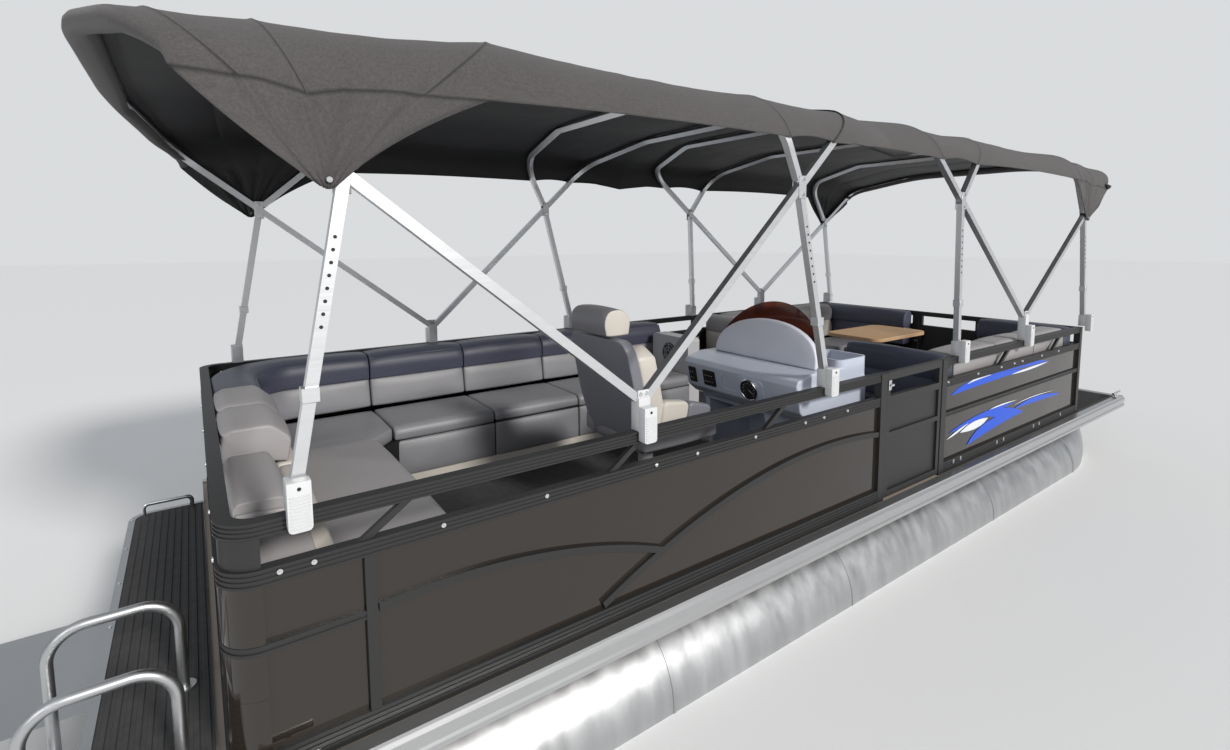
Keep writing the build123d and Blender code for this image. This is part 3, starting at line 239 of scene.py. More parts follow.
def use_group(tree, name, **inputs):
    """A placed shader group, with its inputs set."""
    return add_node(tree, "ShaderNodeGroup", inputs, node_tree=shader_group(name, *GROUPS[name])).outputs


def new_material(name, base, roughness, metallic=0.0, **sockets):
    """A material with its Principled BSDF; returns the material, its tree and that node."""
    material = bpy.data.materials.new(name)
    material.use_nodes = True
    tree = material.node_tree
    shader = tree.nodes["Principled BSDF"]
    shader.inputs["Base Color"].default_value = (*base, 1.0)
    shader.inputs["Roughness"].default_value = roughness
    shader.inputs["Metallic"].default_value = metallic
    for key, value in sockets.items():
        shader.inputs[key.replace("_", " ")].default_value = value
    return material, tree, shader


def bump(tree, shader, height, distance, strength=1.0):
    """Joins a height to the shader's normal."""
    node = add_node(tree, "ShaderNodeBump", {"Height": height, "Distance": distance, "Strength": strength})
    tree.links.new(node.outputs[0], shader.inputs["Normal"])


def shade_by(tree, shader, factor, base, low, high):
    """Varies the base colour between two brightnesses of base."""
    dark = (*[c * low for c in base], 1.0)
    bright = (*[min(1.0, c * high) for c in base], 1.0)
    tree.links.new(mix_colours(tree, factor, dark, bright), shader.inputs["Base Color"])


def range_of(tree, value, low, high):
    """A value from 0 to 1 spread between low and high."""
    return add_node(tree, "ShaderNodeMapRange", {"Value": value, "To Min": low, "To Max": high}).outputs[0]


def vinyl(name, base, roughness):
    """Grained upholstery, glossier where it is darker."""
    material, tree, shader = new_material(name, base, roughness, Coat_Weight=0.12, Coat_Roughness=0.35)
    grain = use_group(tree, "vinyl_grain", Scale=650.0, Crease=2.2)
    shade_by(tree, shader, grain["Tone"], base, 0.88, 1.12)
    sheen = range_of(tree, grain["Tone"], roughness - 0.06, roughness + 0.08)
    tree.links.new(sheen, shader.inputs["Roughness"])
    bump(tree, shader, grain["Height"], 0.0006, 0.5)
    return material


def canvas_cloth(name, base):
    """Woven cloth, mottled by its yarn, with darker sewn lines where the mesh marks a seam."""
    material, tree, shader = new_material(name, base, 0.86, Sheen_Weight=0.15, Sheen_Roughness=0.5)
    weave = use_group(tree, "canvas_weave", Scale=190.0)
    yarn = cloudy(tree, object_place(tree), 150.0, 2.0)
    tone = calculate(tree, "MULTIPLY_ADD", yarn, 0.75, calculate(tree, "MULTIPLY", weave["Fading"], 0.4))
    cloth = mix_colours(tree, tone, (*[c * 0.45 for c in base], 1.0), (*[c * 1.6 for c in base], 1.0))
    seam = add_node(tree, "ShaderNodeAttribute", attribute_name="seam").outputs["Fac"]
    sewn = mix_colours(tree, calculate(tree, "MULTIPLY", seam, 0.8), cloth, (0.008, 0.008, 0.008, 1.0))
    tree.links.new(sewn, shader.inputs["Base Color"])
    bump(tree, shader, weave["Height"], 0.0005, 0.7)
    return material


def shaded_underside(name, base):
    """The inner face of the cloth, far darker than its outer face: painted shade under the sun tops."""
    material, tree, shader = new_material(name, base, 0.62)
    weave = use_group(tree, "canvas_weave", Scale=190.0)
    shade_by(tree, shader, weave["Fading"], base, 0.6, 1.5)
    bump(tree, shader, weave["Height"], 0.0005, 0.5)
    return material


def metal(name, base, roughness, clouds, along=0.03, scale=180.0):
    """Brushed metal, its lines drawn out along the boat and its tone slightly clouded."""
    material, tree, shader = new_material(name, base, roughness, metallic=1.0)
    brushed = use_group(tree, "brushed_metal", Along=along, Scale=scale)
    shade_by(tree, shader, brushed["Clouds"], base, 1.0 - clouds, 1.0 + clouds)
    low, high = roughness * 0.75, roughness * 1.3
    tree.links.new(range_of(tree, brushed["Lines"], low, high), shader.inputs["Roughness"])
    bump(tree, shader, brushed["Lines"], 0.0001, 0.6)
    return material


def paint(name, base, roughness, coat=0.0, waves=0.0002, dust=0.0, shine=0.5):
    """Gloss paint or powder coat, with slow waves and a veil of dust."""
    material, tree, shader = new_material(name, base, roughness, Coat_Weight=coat, Coat_Roughness=0.08)
    shader.inputs["Specular IOR Level"].default_value = shine
    bump(tree, shader, cloudy(tree, object_place(tree), 2.4, 1.0), waves)
    veil = use_group(tree, "settled_dust", Amount=dust, Scale=30.0)["Veil"]
    dusty = mix_colours(tree, veil, (*base, 1.0), (0.32, 0.30, 0.27, 1.0))
    tree.links.new(dusty, shader.inputs["Base Color"])
    return material


def moulded(name, base, roughness, grain=0.0003, coat=0.0):
    """Moulded plastic with a fine grain."""
    material, tree, shader = new_material(name, base, roughness, Coat_Weight=coat, Coat_Roughness=0.1)
    pattern = use_group(tree, "vinyl_grain", Scale=420.0, Crease=0.4)
    shade_by(tree, shader, pattern["Tone"], base, 0.94, 1.05)
    bump(tree, shader, pattern["Height"], grain, 0.35)
    return material


def teak_wood(name, base):
    """Oiled wood with its grain along the boat."""
    material, tree, shader = new_material(name, base, 0.42, Coat_Weight=0.15, Coat_Roughness=0.3)
    drawn = add_node(tree, "ShaderNodeMapping", {"Vector": object_place(tree), "Scale": (1.2, 14.0, 14.0)})
    rings = cloudy(tree, drawn.outputs[0], 5.0, 6.0, Distortion=1.2)
    shade_by(tree, shader, rings, base, 0.45, 1.5)
    bump(tree, shader, rings, 0.0006, 0.5)
    return material


def tinted_plastic(name, base):
    """Clear tinted sheet with a slight haze."""
    material, tree, shader = new_material(name, base, 0.06, IOR=1.45, Transmission_Weight=0.85)
    haze = cloudy(tree, object_place(tree), 14.0, 3.0)
    tree.links.new(range_of(tree, haze, 0.03, 0.12), shader.inputs["Roughness"])
    return material


def ribbed_rubber(name, base):
    """Rubber with a fine grain and dust on what faces up."""
    material, tree, shader = new_material(name, base, 0.72)
    veil = use_group(tree, "settled_dust", Amount=0.16, Scale=24.0)["Veil"]
    worn = mix_colours(tree, veil, (*base, 1.0), (0.30, 0.29, 0.27, 1.0))
    tree.links.new(worn, shader.inputs["Base Color"])
    bump(tree, shader, use_group(tree, "brushed_metal", Along=1.0, Scale=320.0)["Lines"], 0.0004, 0.6)
    return material


def welded_tube(name, base):
    """Mill-finish sheet with stains that run down from the seams."""
    material, tree, shader = new_material(name, base, 0.40, metallic=1.0)
    streaks = add_node(tree, "ShaderNodeMapping", {"Vector": object_place(tree), "Scale": (7.0, 7.0, 0.8)})
    stain = cloudy(tree, streaks.outputs[0], 2.0, 7.0)
    shade_by(tree, shader, stain, base, 0.72, 1.18)
    tree.links.new(range_of(tree, stain, 0.24, 0.52), shader.inputs["Roughness"])
    bump(tree, shader, use_group(tree, "brushed_metal", Along=0.25, Scale=90.0)["Clouds"], 0.002, 0.35)
    return material


# what the stripes' finishes share
STRIPE = dict(roughness=0.2, shine=0.25)

# each finish: the function that makes it, its colour or the name of that colour among the settings, and more
FINISHES = {
    "slate_vinyl": (vinyl, "slate", dict(roughness=0.40)),
    "grey_vinyl": (vinyl, "grey", dict(roughness=0.42)),
    "shell_vinyl": (vinyl, (0.190, 0.195, 0.222), dict(roughness=0.40)),
    "arch_vinyl": (vinyl, (0.66, 0.68, 0.76), dict(roughness=0.40)),
    "pale_vinyl": (vinyl, "pale", dict(roughness=0.46)),
    "cream_vinyl": (vinyl, "cream", dict(roughness=0.44)),
    # near-black: the foot pins' own colour; on the seat bases and in the legs' holes it is painted shade
    "seam_black": (moulded, (0.008, 0.008, 0.009), dict(roughness=0.6)),
    "toe_board": (moulded, "cream", dict(roughness=0.5)),
    "fence_black": (paint, "black", dict(roughness=0.15, dust=0.01, shine=0.12)),
    "panel_gloss": (paint, "bronze", dict(roughness=0.07, coat=0.30, waves=0.006)),
    "top_canvas": (canvas_cloth, "canvas", {}),
    # the cloth's inner face, near-black: painted shade under the sun tops
    "canvas_lining": (shaded_underside, (0.009, 0.009, 0.010), {}),
    "tube_mill": (welded_tube, "aluminium", {}),
    "rub_bright": (metal, (0.60, 0.605, 0.61), dict(roughness=0.34, clouds=0.05, along=0.01, scale=260.0)),
    "trim_aluminium": (metal, "aluminium", dict(roughness=0.38, clouds=0.08)),
    "bow_tube": (metal, "silver", dict(roughness=0.42, clouds=0.05)),
    "bright_steel": (metal, (0.78, 0.79, 0.80), dict(roughness=0.20, clouds=0.03)),
    "white_plastic": (moulded, "white", dict(roughness=0.38)),
    "console_gelcoat": (moulded, "console", dict(roughness=0.20, grain=0.0001, coat=0.4)),
    "black_plastic": (moulded, (0.014, 0.014, 0.015), dict(roughness=0.35)),
    "grey_plastic": (moulded, (0.30, 0.31, 0.32), dict(roughness=0.5)),
    "pod_moulding": (moulded, (0.50, 0.50, 0.52), dict(roughness=0.45)),
    "deck_board": (moulded, (0.016, 0.0165, 0.018), dict(roughness=0.7)),
    "mat_rubber": (ribbed_rubber, "mat", {}),
    "teak": (teak_wood, "teak", {}),
    "tinted_screen": (tinted_plastic, "screen", {}),
    "stripe_blue": (paint, "blue", STRIPE),
    "stripe_navy": (paint, (0.004, 0.012, 0.09), STRIPE),
    "stripe_silver": (paint, (0.72, 0.75, 0.80), STRIPE),
    "motor_paint": (paint, (0.010, 0.010, 0.011), dict(roughness=0.2, coat=0.6, dust=0.06)),
    "motor_grey": (paint, (0.055, 0.056, 0.06), dict(roughness=0.35, coat=0.2, dust=0.08)),
}


def finish_material(name):
    """A finish's material, made when it is first asked for."""
    if name in bpy.data.materials:
        return bpy.data.materials[name]
    make, base, more = FINISHES[name]
    return make(name, getattr(colours(), base) if isinstance(base, str) else base, **more)


def finish_nodes(name, *nodes):
    """Gives carried-over nodes a finish."""
    for node in nodes:
        obj = NODES[node]
        obj.data.materials.clear()
        obj.data.materials.append(finish_material(name))


# Shapes


def add_object(name, data):
    """A new object in the scene."""
    obj = bpy.data.objects.new(name, data)
    bpy.context.scene.collection.objects.link(obj)
    return obj


def mesh_from(bm, name, finishes):
    """A smoothly shaded mesh with its materials, out of a finished bmesh."""
    mesh = bpy.data.meshes.new(name)
    bm.to_mesh(mesh)
    bm.free()
    for finish in finishes:
        mesh.materials.append(finish_material(finish))
    mesh.polygons.foreach_set("use_smooth", [True] * len(mesh.polygons))
    return mesh


def place(bm, name, finishes, slot="steel_bright", body=HULL, replaces=(), sharp=40):
    """Makes a finished bmesh a piece that rides on a body; sharp is the angle past which edges stay hard."""
    bmesh.ops.remove_doubles(bm, verts=bm.verts, dist=1e-6)
    bmesh.ops.recalc_face_normals(bm, faces=bm.faces)
    mesh = mesh_from(bm, name, finishes)
    mesh.set_sharp_from_angle(angle=math.radians(sharp))
    obj = add_object(name, mesh)
    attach(obj, body)
    if replaces:
        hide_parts(*replaces)
    return obj


# How an outline's two axes and the way it is pulled lie in the boat's frame
PLANES = {
    "rib": (Vector((0, 1, 0)), Vector((0, 0, 1)), Vector((1, 0, 0))),
    "side": (Vector((1, 0, 0)), Vector((0, 0, 1)), Vector((0, 1, 0))),
    "plan": (Vector((1, 0, 0)), Vector((0, 1, 0)), Vector((0, 0, 1))),
}


def prism(outline, start, end):
    """A closed block with an outline in its first two axes, pulled along the third."""
    bm = bmesh.new()
    face = bm.faces.new([bm.verts.new((a, b, start)) for a, b in outline])
    raised = bmesh.ops.extrude_face_region(bm, geom=[face])["geom"]
    top = [v for v in raised if isinstance(v, bmesh.types.BMVert)]
    bmesh.ops.translate(bm, verts=top, vec=(0, 0, end - start))
    bmesh.ops.recalc_face_normals(bm, faces=bm.faces)
    return bm


def slice_across(bm, axis, where):
    """Cuts the mesh by a plane, so that there is a row of vertices to move."""
    point, normal = Vector((0, 0, 0)), Vector((0, 0, 0))
    point[axis], normal[axis] = where, 1.0
    geometry = bm.verts[:] + bm.edges[:] + bm.faces[:]
    bmesh.ops.bisect_plane(bm, geom=geometry, dist=1e-5, plane_co=point, plane_no=normal)


def round_edges(bm, edges, radius, segments):
    """Bevels edges to a radius."""
    if edges and radius > 0:
        bmesh.ops.bevel(bm, geom=edges, offset=radius, offset_type="OFFSET", segments=segments, profile=0.5,
                        affect="EDGES", material=-1, clamp_overlap=True)


class Outline:
    """A closed outline that tells how far along a panel, and how deep inside, a point is."""

    def __init__(self, points, sewn):
        self.points = [Vector(p) for p in points]
        self.count = len(points)
        self.sewn = sorted(sewn) if sewn else list(range(self.count))
        self.reach = [0.0]
        for i in range(self.count):
            self.reach.append(self.reach[-1] + (self.points[(i + 1) % self.count] - self.points[i]).length)

    def locate(self, point):
        """Distance inside the outline, and the fraction of the way along its panel."""
        best = (1e9, 0.0)
        for i in range(self.count):
            a, b = self.points[i], self.points[(i + 1) % self.count]
            along = b - a
            t = max(0.0, min(1.0, (point - a).dot(along) / along.length_squared))
            gap = (point - a - along * t).length
            if gap < best[0]:
                best = (gap, self.reach[i] + along.length * t)
        depth, where = best
        total = self.reach[-1]
        starts = [self.reach[i] for i in self.sewn]
        before = [s for s in starts if s <= where + 1e-9]
        start = before[-1] if before else starts[-1] - total
        after = [s for s in starts if s > start + 1e-9]
        stop = after[0] if after else starts[0] + total
        return depth, (where - start) / max(stop - start, 1e-6), stop - start


def swell(fraction):
    """0 at both ends of a panel, 1 in its middle."""
    return max(0.0, 1.0 - (2.0 * min(max(fraction, 0.0), 1.0) - 1.0) ** 2) ** 0.55


# a sewn groove's half width, its depth and where the mesh is cut to shape it
GROOVE, GROOVE_DEPTH = 0.012, 0.007
GROOVE_CUTS = (-GROOVE, -0.005, 0.0, 0.005, GROOVE)
# edges past this angle are sewn, and panels narrower than this swell less
SEWN_ANGLE, FULL_PANEL = math.radians(32), 0.12
# how high the vinyl wrinkles, and how many wrinkles there are to a metre
WRINKLE, WRINKLES = 0.0012, 9.0


def soft_block(name, outline, plane, start, end, finish, slot, sewn=None, edge=None, bend_radius=0.03,
               crown=None, end_crown=0.005, spacing=0.045, channels=(), bands=(), warp=None, fill=0.85,
               body=HULL, replaces=(), end_finish=None):
    """An upholstered form: an outline pulled to a length, with rounded sewn edges, crowned panels and sewn
    channels. channels are places along its length, bands are (axis, place) across its outline, and warp
    maps its own axes (first, second, along) to a place in the boat."""
    edge = sizes().welt if edge is None else edge
    crown = sizes().seat_crown if crown is None else crown
    shape = Outline(outline, sewn)
    bm = prism(outline, start, end)
    smooth_corners = [shape.points[i] for i in range(shape.count) if i not in shape.sewn]
    lengthwise = []
    for line in bm.edges:
        a, b = line.verts
        if abs(a.co.z - b.co.z) > 1e-6 and any((a.co.xy - c).length < 1e-6 for c in smooth_corners):
            lengthwise.append(line)
    round_edges(bm, lengthwise, bend_radius, 4)
    round_edges(bm, [line for line in bm.edges if line.calc_face_angle(0.0) > SEWN_ANGLE], edge, 3)
    lows = [min(v.co[k] for v in bm.verts) for k in range(3)]
    highs = [max(v.co[k] for v in bm.verts) for k in range(3)]
    grooves = [(2, c) for c in channels] + list(bands)
    for axis, (low, high) in enumerate(zip(lows, highs)):
        steps = max(2, int((high - low) / spacing))
        for i in range(1, steps):
            slice_across(bm, axis, low + (high - low) * i / steps)
    for axis, where in grooves:
        for offset in GROOVE_CUTS:
            slice_across(bm, axis, where + offset)
    bm.normal_update()
    stops = sorted([start, end, *channels])
    moves = []
    for v in bm.verts:
        depth, across, width = shape.locate(v.co.xy)
        below = max([s for s in stops if s <= v.co.z + 1e-9], default=stops[0])
        above = min([s for s in stops if s > below + 1e-9], default=stops[-1])
        along = (v.co.z - below) / max(above - below, 1e-6)
        at_end = min(abs(v.co.z - start), abs(v.co.z - end)) < 1e-4
        if at_end:
            rise = end_crown * (1.0 - math.exp(-max(depth - edge, 0.0) / 0.03))
        else:
            small = min(1.0, width / FULL_PANEL, (above - below) / FULL_PANEL)
            rise = crown * small * swell(across) * swell(along)
        for axis, where in grooves:
            away = abs(v.co[axis] - where)
            if away < GROOVE:
                rise -= GROOVE_DEPTH * (1.0 - (away / GROOVE) ** 2)
        if not at_end:
            rise += WRINKLE * noise.noise(v.co * WRINKLES)
        moves.append(v.normal * rise)
    if end_finish:
        for face in bm.faces:
            face.material_index = int(abs(face.normal.z) > 0.7)
    for v, move in zip(bm.verts, moves):
        v.co += move
    first, second, third = PLANES[plane]
    for v in bm.verts:
        a, b, c = v.co
        v.co = warp(a, b, c) if warp else first * a + second * b + third * c
    finishes = [finish, end_finish] if end_finish else [finish]
    obj = place(bm, name, finishes, slot, body, replaces, sharp=60)


def rectangle(a0, a1, b0, b1):
    """The corners of a rectangle, in turn."""
    return [(a0, b0), (a1, b0), (a1, b1), (a0, b1)]


def in_boat(points):
    """Points given as (station, height) or (station, y, height), in the boat's frame."""
    return [(station(point[0]), *point[1:-1], over(point[-1])) for point in points]


def disc(bm, centre, direction, radius, depth, segments=16, taper=0.85):
    """Adds a low round head to a mesh, standing on centre and facing direction."""
    turn = Vector((0, 0, 1)).rotation_difference(Vector(direction)).to_matrix().to_4x4()
    matrix = Matrix.Translation(Vector(centre) + Vector(direction).normalized() * depth / 2) @ turn
    bmesh.ops.create_cone(bm, cap_ends=True, segments=segments, radius1=radius, radius2=radius * taper,
                          depth=depth, matrix=matrix)


def box_into(bm, corner, opposite):
    """Adds a plain box to a mesh, between any two opposite corners."""
    low = Vector([min(pair) for pair in zip(corner, opposite)])
    high = Vector([max(pair) for pair in zip(corner, opposite)])
    matrix = Matrix.Translation((low + high) / 2) @ Matrix.Diagonal((*(high - low), 1.0))
    bmesh.ops.create_cube(bm, size=1.0, matrix=matrix)


def bar_into(bm, size, centre, turn=0.0):
    """Adds a small bar to a mesh, moved to centre and then turned about Z."""
    bar = bmesh.ops.create_cube(bm, size=1.0)["verts"]
    bmesh.ops.scale(bm, verts=bar, vec=size)
    bmesh.ops.translate(bm, verts=bar, vec=centre)
    bmesh.ops.rotate(bm, verts=bar, cent=(0, 0, 0), matrix=Matrix.Rotation(turn, 3, "Z"))


def ring_into(bm, profile, steps, closed):
    """Adds a profile of (radius, height) turned about Z to a mesh; a closed one ends where it starts."""
    section = [bm.verts.new((radius, 0, height)) for radius, height in profile]
    following = section[1:] + section[:1] if closed else section[1:]
    loop = [bm.edges.new(pair) for pair in zip(section, following)]
    bmesh.ops.spin(bm, geom=loop + section, cent=(0, 0, 0), axis=(0, 0, 1), angle=math.tau, steps=steps,
                   use_merge=True)


def curve_point(start, control, end, t):
    """A point on the curve that runs from start to end and leans towards control."""
    return start * (1 - t) ** 2 + control * 2 * t * (1 - t) + end * t * t


def rounded_path(points, radii, step=0.03):
    """Points along a path whose inner corners are arcs of the given radii; points are 2-D."""
    points = [Vector(p) for p in points]
    path = [points[0]]
    for before, corner, after, radius in zip(points, points[1:], points[2:], radii):
        inward, outward = (before - corner).normalized(), (after - corner).normalized()
        half = math.acos(max(-1.0, min(1.0, inward.dot(outward)))) / 2
        reach = radius / math.tan(half)
        centre = corner + (inward + outward).normalized() * radius / math.sin(half)
        first, last = corner + inward * reach, corner + outward * reach
        sweep = math.pi - 2 * half
        count = max(3, int(sweep * radius / step))
        arm = first - centre
        turn = 1.0 if arm.cross(last - centre) > 0 else -1.0
        for i in range(count + 1):
            path.append(centre + Matrix.Rotation(turn * sweep * i / count, 2) @ arm)
    path.append(points[-1])
    return path


def along_path(path, fraction):
    """The point at a fraction of a path's length."""
    lengths = [0.0]
    for a, b in zip(path, path[1:]):
        lengths.append(lengths[-1] + (b - a).length)
    where = fraction * lengths[-1]
    for i in range(len(path) - 1):
        if where <= lengths[i + 1] or i == len(path) - 2:
            run = max(lengths[i + 1] - lengths[i], 1e-9)
            return path[i].lerp(path[i + 1], (where - lengths[i]) / run)


def path_length(path):
    """Length of a path of points."""
    return sum((b - a).length for a, b in zip(path, path[1:]))


# Operators


class BoatOperator:
    """What every operator of this file shares."""

    bl_options = {"REGISTER", "UNDO"}


class BOAT_OT_hull(BoatOperator, bpy.types.Operator):
    """Finish the pontoons, cross members, motor pod, swim platform, ladder, rub rails and deck floor"""

    bl_idname = "boat.hull"
    bl_label = "Hull"

    def execute(self, context):
        finish_nodes("tube_mill", "starboard_pontoon", "port_pontoon", "towing_eyes")
        finish_nodes("trim_aluminium", "pontoon_brackets", "cross_members", "swim_platform", "motor_pod",
                     "ladder_upper", "ladder_lower")
        finish_nodes("rub_bright", "rub_rails")
        finish_nodes("bright_steel", "mooring_cleats", "platform_grab_rail")
        finish_nodes("deck_board", "deck_floor")
        return {"FINISHED"}


class BOAT_OT_mats(BoatOperator, bpy.types.Operator):
    """Lay ribs on the deck and on the swim platform, and screw down the platform's trim"""

    bl_idname = "boat.mats"
    bl_label = "Mats"

    # half a rib's width as a share of the pitch, its shoulders as a share of its height, and its foot's depth
    HALF_WIDTH, SHOULDER, SUNK = 0.30, 0.6, 0.001
    SCREWS = 7

    def ribs(self, name, aft, fore, right, left, pitch, along_x, height, corner=0.0):
        """Parallel ribs with bevelled shoulders; corner shortens those at the rectangle's aft port corner."""
        bm = bmesh.new()
        low, high = (right, left) if along_x else (aft, fore)
        count = int((high - low) / pitch)
        half, foot, top = pitch * self.HALF_WIDTH, DECK - self.SUNK, DECK + height
        for i in range(count):
            middle = low + (i + 0.5) * (high - low) / count
            if along_x:
                box_into(bm, (aft, middle - half, foot), (fore, middle + half, top))
            else:
                end = left - max(0.0, corner - (middle - aft))
                box_into(bm, (middle - half, right, foot), (middle + half, end, top))
        upper = [e for e in bm.edges if all(v.co.z > DECK for v in e.verts) and e.calc_length() > pitch]
        round_edges(bm, upper, height * self.SHOULDER, 1)
        place(bm, name, ["mat_rubber"], slot="ribbed_mat")

    def execute(self, context):
        size = sizes()
        finish_nodes("mat_rubber", "deck_mats")
        low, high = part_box("swim_platform")
        self.ribs("platform_ribs", low.x + 0.032, station(-0.024), low.y + 0.03, high.y - 0.03,
                  size.mat_pitch, False, 0.003, 0.06)
        self.ribs("deck_ribs", station(0.76), station(5.70), -1.165, 0.49, size.deck_pitch, True, 0.0022)
        self.ribs("bow_step_ribs", station(5.80), station(6.60), -1.21, 1.21, size.mat_pitch, False, 0.003)
        bm = bmesh.new()
        for i in range(self.SCREWS):
            y = low.y + 0.06 + i * (high.y - 0.14 - low.y) / (self.SCREWS - 1)
            disc(bm, (low.x + 0.013, y, DECK + 0.003), (0, 0, 1), 0.0065, 0.003)
        place(bm, "platform_screws", ["bright_steel"])
        return {"FINISHED"}


class BOAT_OT_fence(BoatOperator, bpy.types.Operator):
    """Finish the fences and gates and fit their screws, clamps, latches and stripes"""

    bl_idname = "boat.fence"
    bl_label = "Fence"

    # stations of the top rail's screws and of the base's clamps on one side, and y of the stern rail's screws
    RAIL_SCREWS = (0.14, 0.22, 0.57, 0.92, 1.39, 1.60, 1.94, 2.28, 2.42, 2.61, 3.62, 4.00, 4.33, 4.53, 4.66,
                   4.99, 5.30)
    BASE_CLAMPS = (3.72, 3.81, 4.31, 4.41, 4.90, 5.00, 5.40)
    STERN_SCREWS = (-1.05, -0.7, -0.2, 0.3, 0.8, 1.05)
    # heights of the top rail's middle and of a clamp's edges
    RAIL, CLAMP_LOW, CLAMP_HIGH = 0.553, 0.034, 0.058
    # stripes on the bow's panels: finish, then (station, height) of aft tip, upper middle, fore tip and lower
    # middle
    STRIPES = (
        ("stripe_blue", ((3.687, 0.456), (4.100, 0.522), (4.800, 0.476), (4.250, 0.470))),
        ("stripe_blue", ((4.270, 0.528), (4.620, 0.557), (5.155, 0.490), (4.660, 0.500))),
        ("stripe_navy", ((4.390, 0.549), (4.620, 0.562), (4.880, 0.528), (4.640, 0.540))),
        ("stripe_silver", ((3.895, 0.497), (4.050, 0.523), (4.225, 0.512), (4.050, 0.507))),
        ("stripe_silver", ((4.530, 0.473), (4.800, 0.485), (5.160, 0.487), (4.850, 0.469))),
        ("stripe_blue", ((3.683, 0.222), (4.110, 0.274), (4.600, 0.266), (4.120, 0.236))),
        ("stripe_blue", ((4.199, 0.241), (4.470, 0.250), (4.760, 0.173), (4.420, 0.196))),
        ("stripe_blue", ((3.925, 0.096), (4.240, 0.208), (4.760, 0.173), (4.340, 0.145))),
        ("stripe_blue", ((4.594, 0.218), (4.980, 0.250), (5.450, 0.200), (4.990, 0.212))),
        ("stripe_silver", ((3.828, 0.199), (4.000, 0.236), (4.205, 0.228), (4.060, 0.188))),
        ("stripe_silver", ((3.660, 0.187), (3.790, 0.219), (3.935, 0.241), (3.800, 0.206))),
        ("stripe_silver", ((4.220, 0.279), (4.400, 0.288), (4.640, 0.278), (4.400, 0.278))),
        ("stripe_silver", ((4.600, 0.246), (4.900, 0.262), (5.300, 0.246), (4.900, 0.256))),
    )

    def stripe(self, name, finish, tips, layer):
        """A pointed blade between two curves, on both sides of the boat, over those of lower layers."""
        aft, upper, fore, lower = [Vector(tip) for tip in tips]
        steps, bm = 16, bmesh.new()
        for side in (-1, 1):
            y = side * (FENCE - 0.0171 + 0.0002 * layer)
            rails = []
            for middle in (upper, lower):
                control = middle * 2 - (aft + fore) / 2
                points = [curve_point(aft, control, fore, i / steps) for i in range(steps + 1)]
                verts = [bm.verts.new((station(p.x), y, over(p.y))) for p in points]
                rails.extend([bm.edges.new(pair) for pair in zip(verts, verts[1:])])
            bmesh.ops.bridge_loops(bm, edges=rails)
        bmesh.ops.remove_doubles(bm, verts=bm.verts, dist=1e-5)
        bmesh.ops.solidify(bm, geom=bm.faces[:], thickness=0.0006)
        place(bm, name, [finish], slot="panel_bronze")

    def latch(self, gate, side):
        """The slide bolt on a gate's latch stile."""
        low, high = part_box(gate)
        face = low.y if side < 0 else high.y
        bm = bmesh.new()
        box_into(bm, (low.x + 0.004, face, over(0.60)), (low.x + 0.030, face + side * 0.006, over(0.655)))
        box_into(bm, (low.x + 0.008, face, over(0.622)), (low.x + 0.040, face + side * 0.016, over(0.634)))
        round_edges(bm, bm.edges[:], 0.0015, 2)
        place(bm, gate + "_latch", ["bright_steel"], body=gate)

    def execute(self, context):
        finish_nodes("fence_black", "fence_frame_stern", "fence_frame_starboard", "fence_frame_port",
                     "fence_frame_bow", "grab_rail_stern", "grab_rail_sides", "grab_rail_bow", "side_gate",
                     "port_gate", "bow_gate")
        finish_nodes("panel_gloss", "fence_panels_aft", "fence_panels_bow")
        finish_nodes("bright_steel", "gate_hinges")
        bm = bmesh.new()
        radius = sizes().screw
        for side in (-1, 1):
            face = side * (FENCE - 0.002)
            for x in self.RAIL_SCREWS:
                where = (station(x), face, over(self.RAIL))
                disc(bm, where, (0, side, 0), radius, 0.004)
                disc(bm, where, (0, side, 0), radius * 0.45, 0.0055, 6)
            for x in self.BASE_CLAMPS:
                box_into(bm, (station(x) - 0.009, face, over(self.CLAMP_LOW)),
                         (station(x) + 0.009, face + side * 0.008, over(self.CLAMP_HIGH)))
        for y in self.STERN_SCREWS:
            disc(bm, (STERN + 0.002, y, over(self.RAIL)), (-1, 0, 0), radius, 0.004)
        place(bm, "fence_screws", ["bright_steel"])
        self.latch("side_gate", -1)
        self.latch("port_gate", 1)
        for i, (finish, tips) in enumerate(self.STRIPES):
            self.stripe(f"bow_stripe_{i}", finish, tips, i)
        return {"FINISHED"}


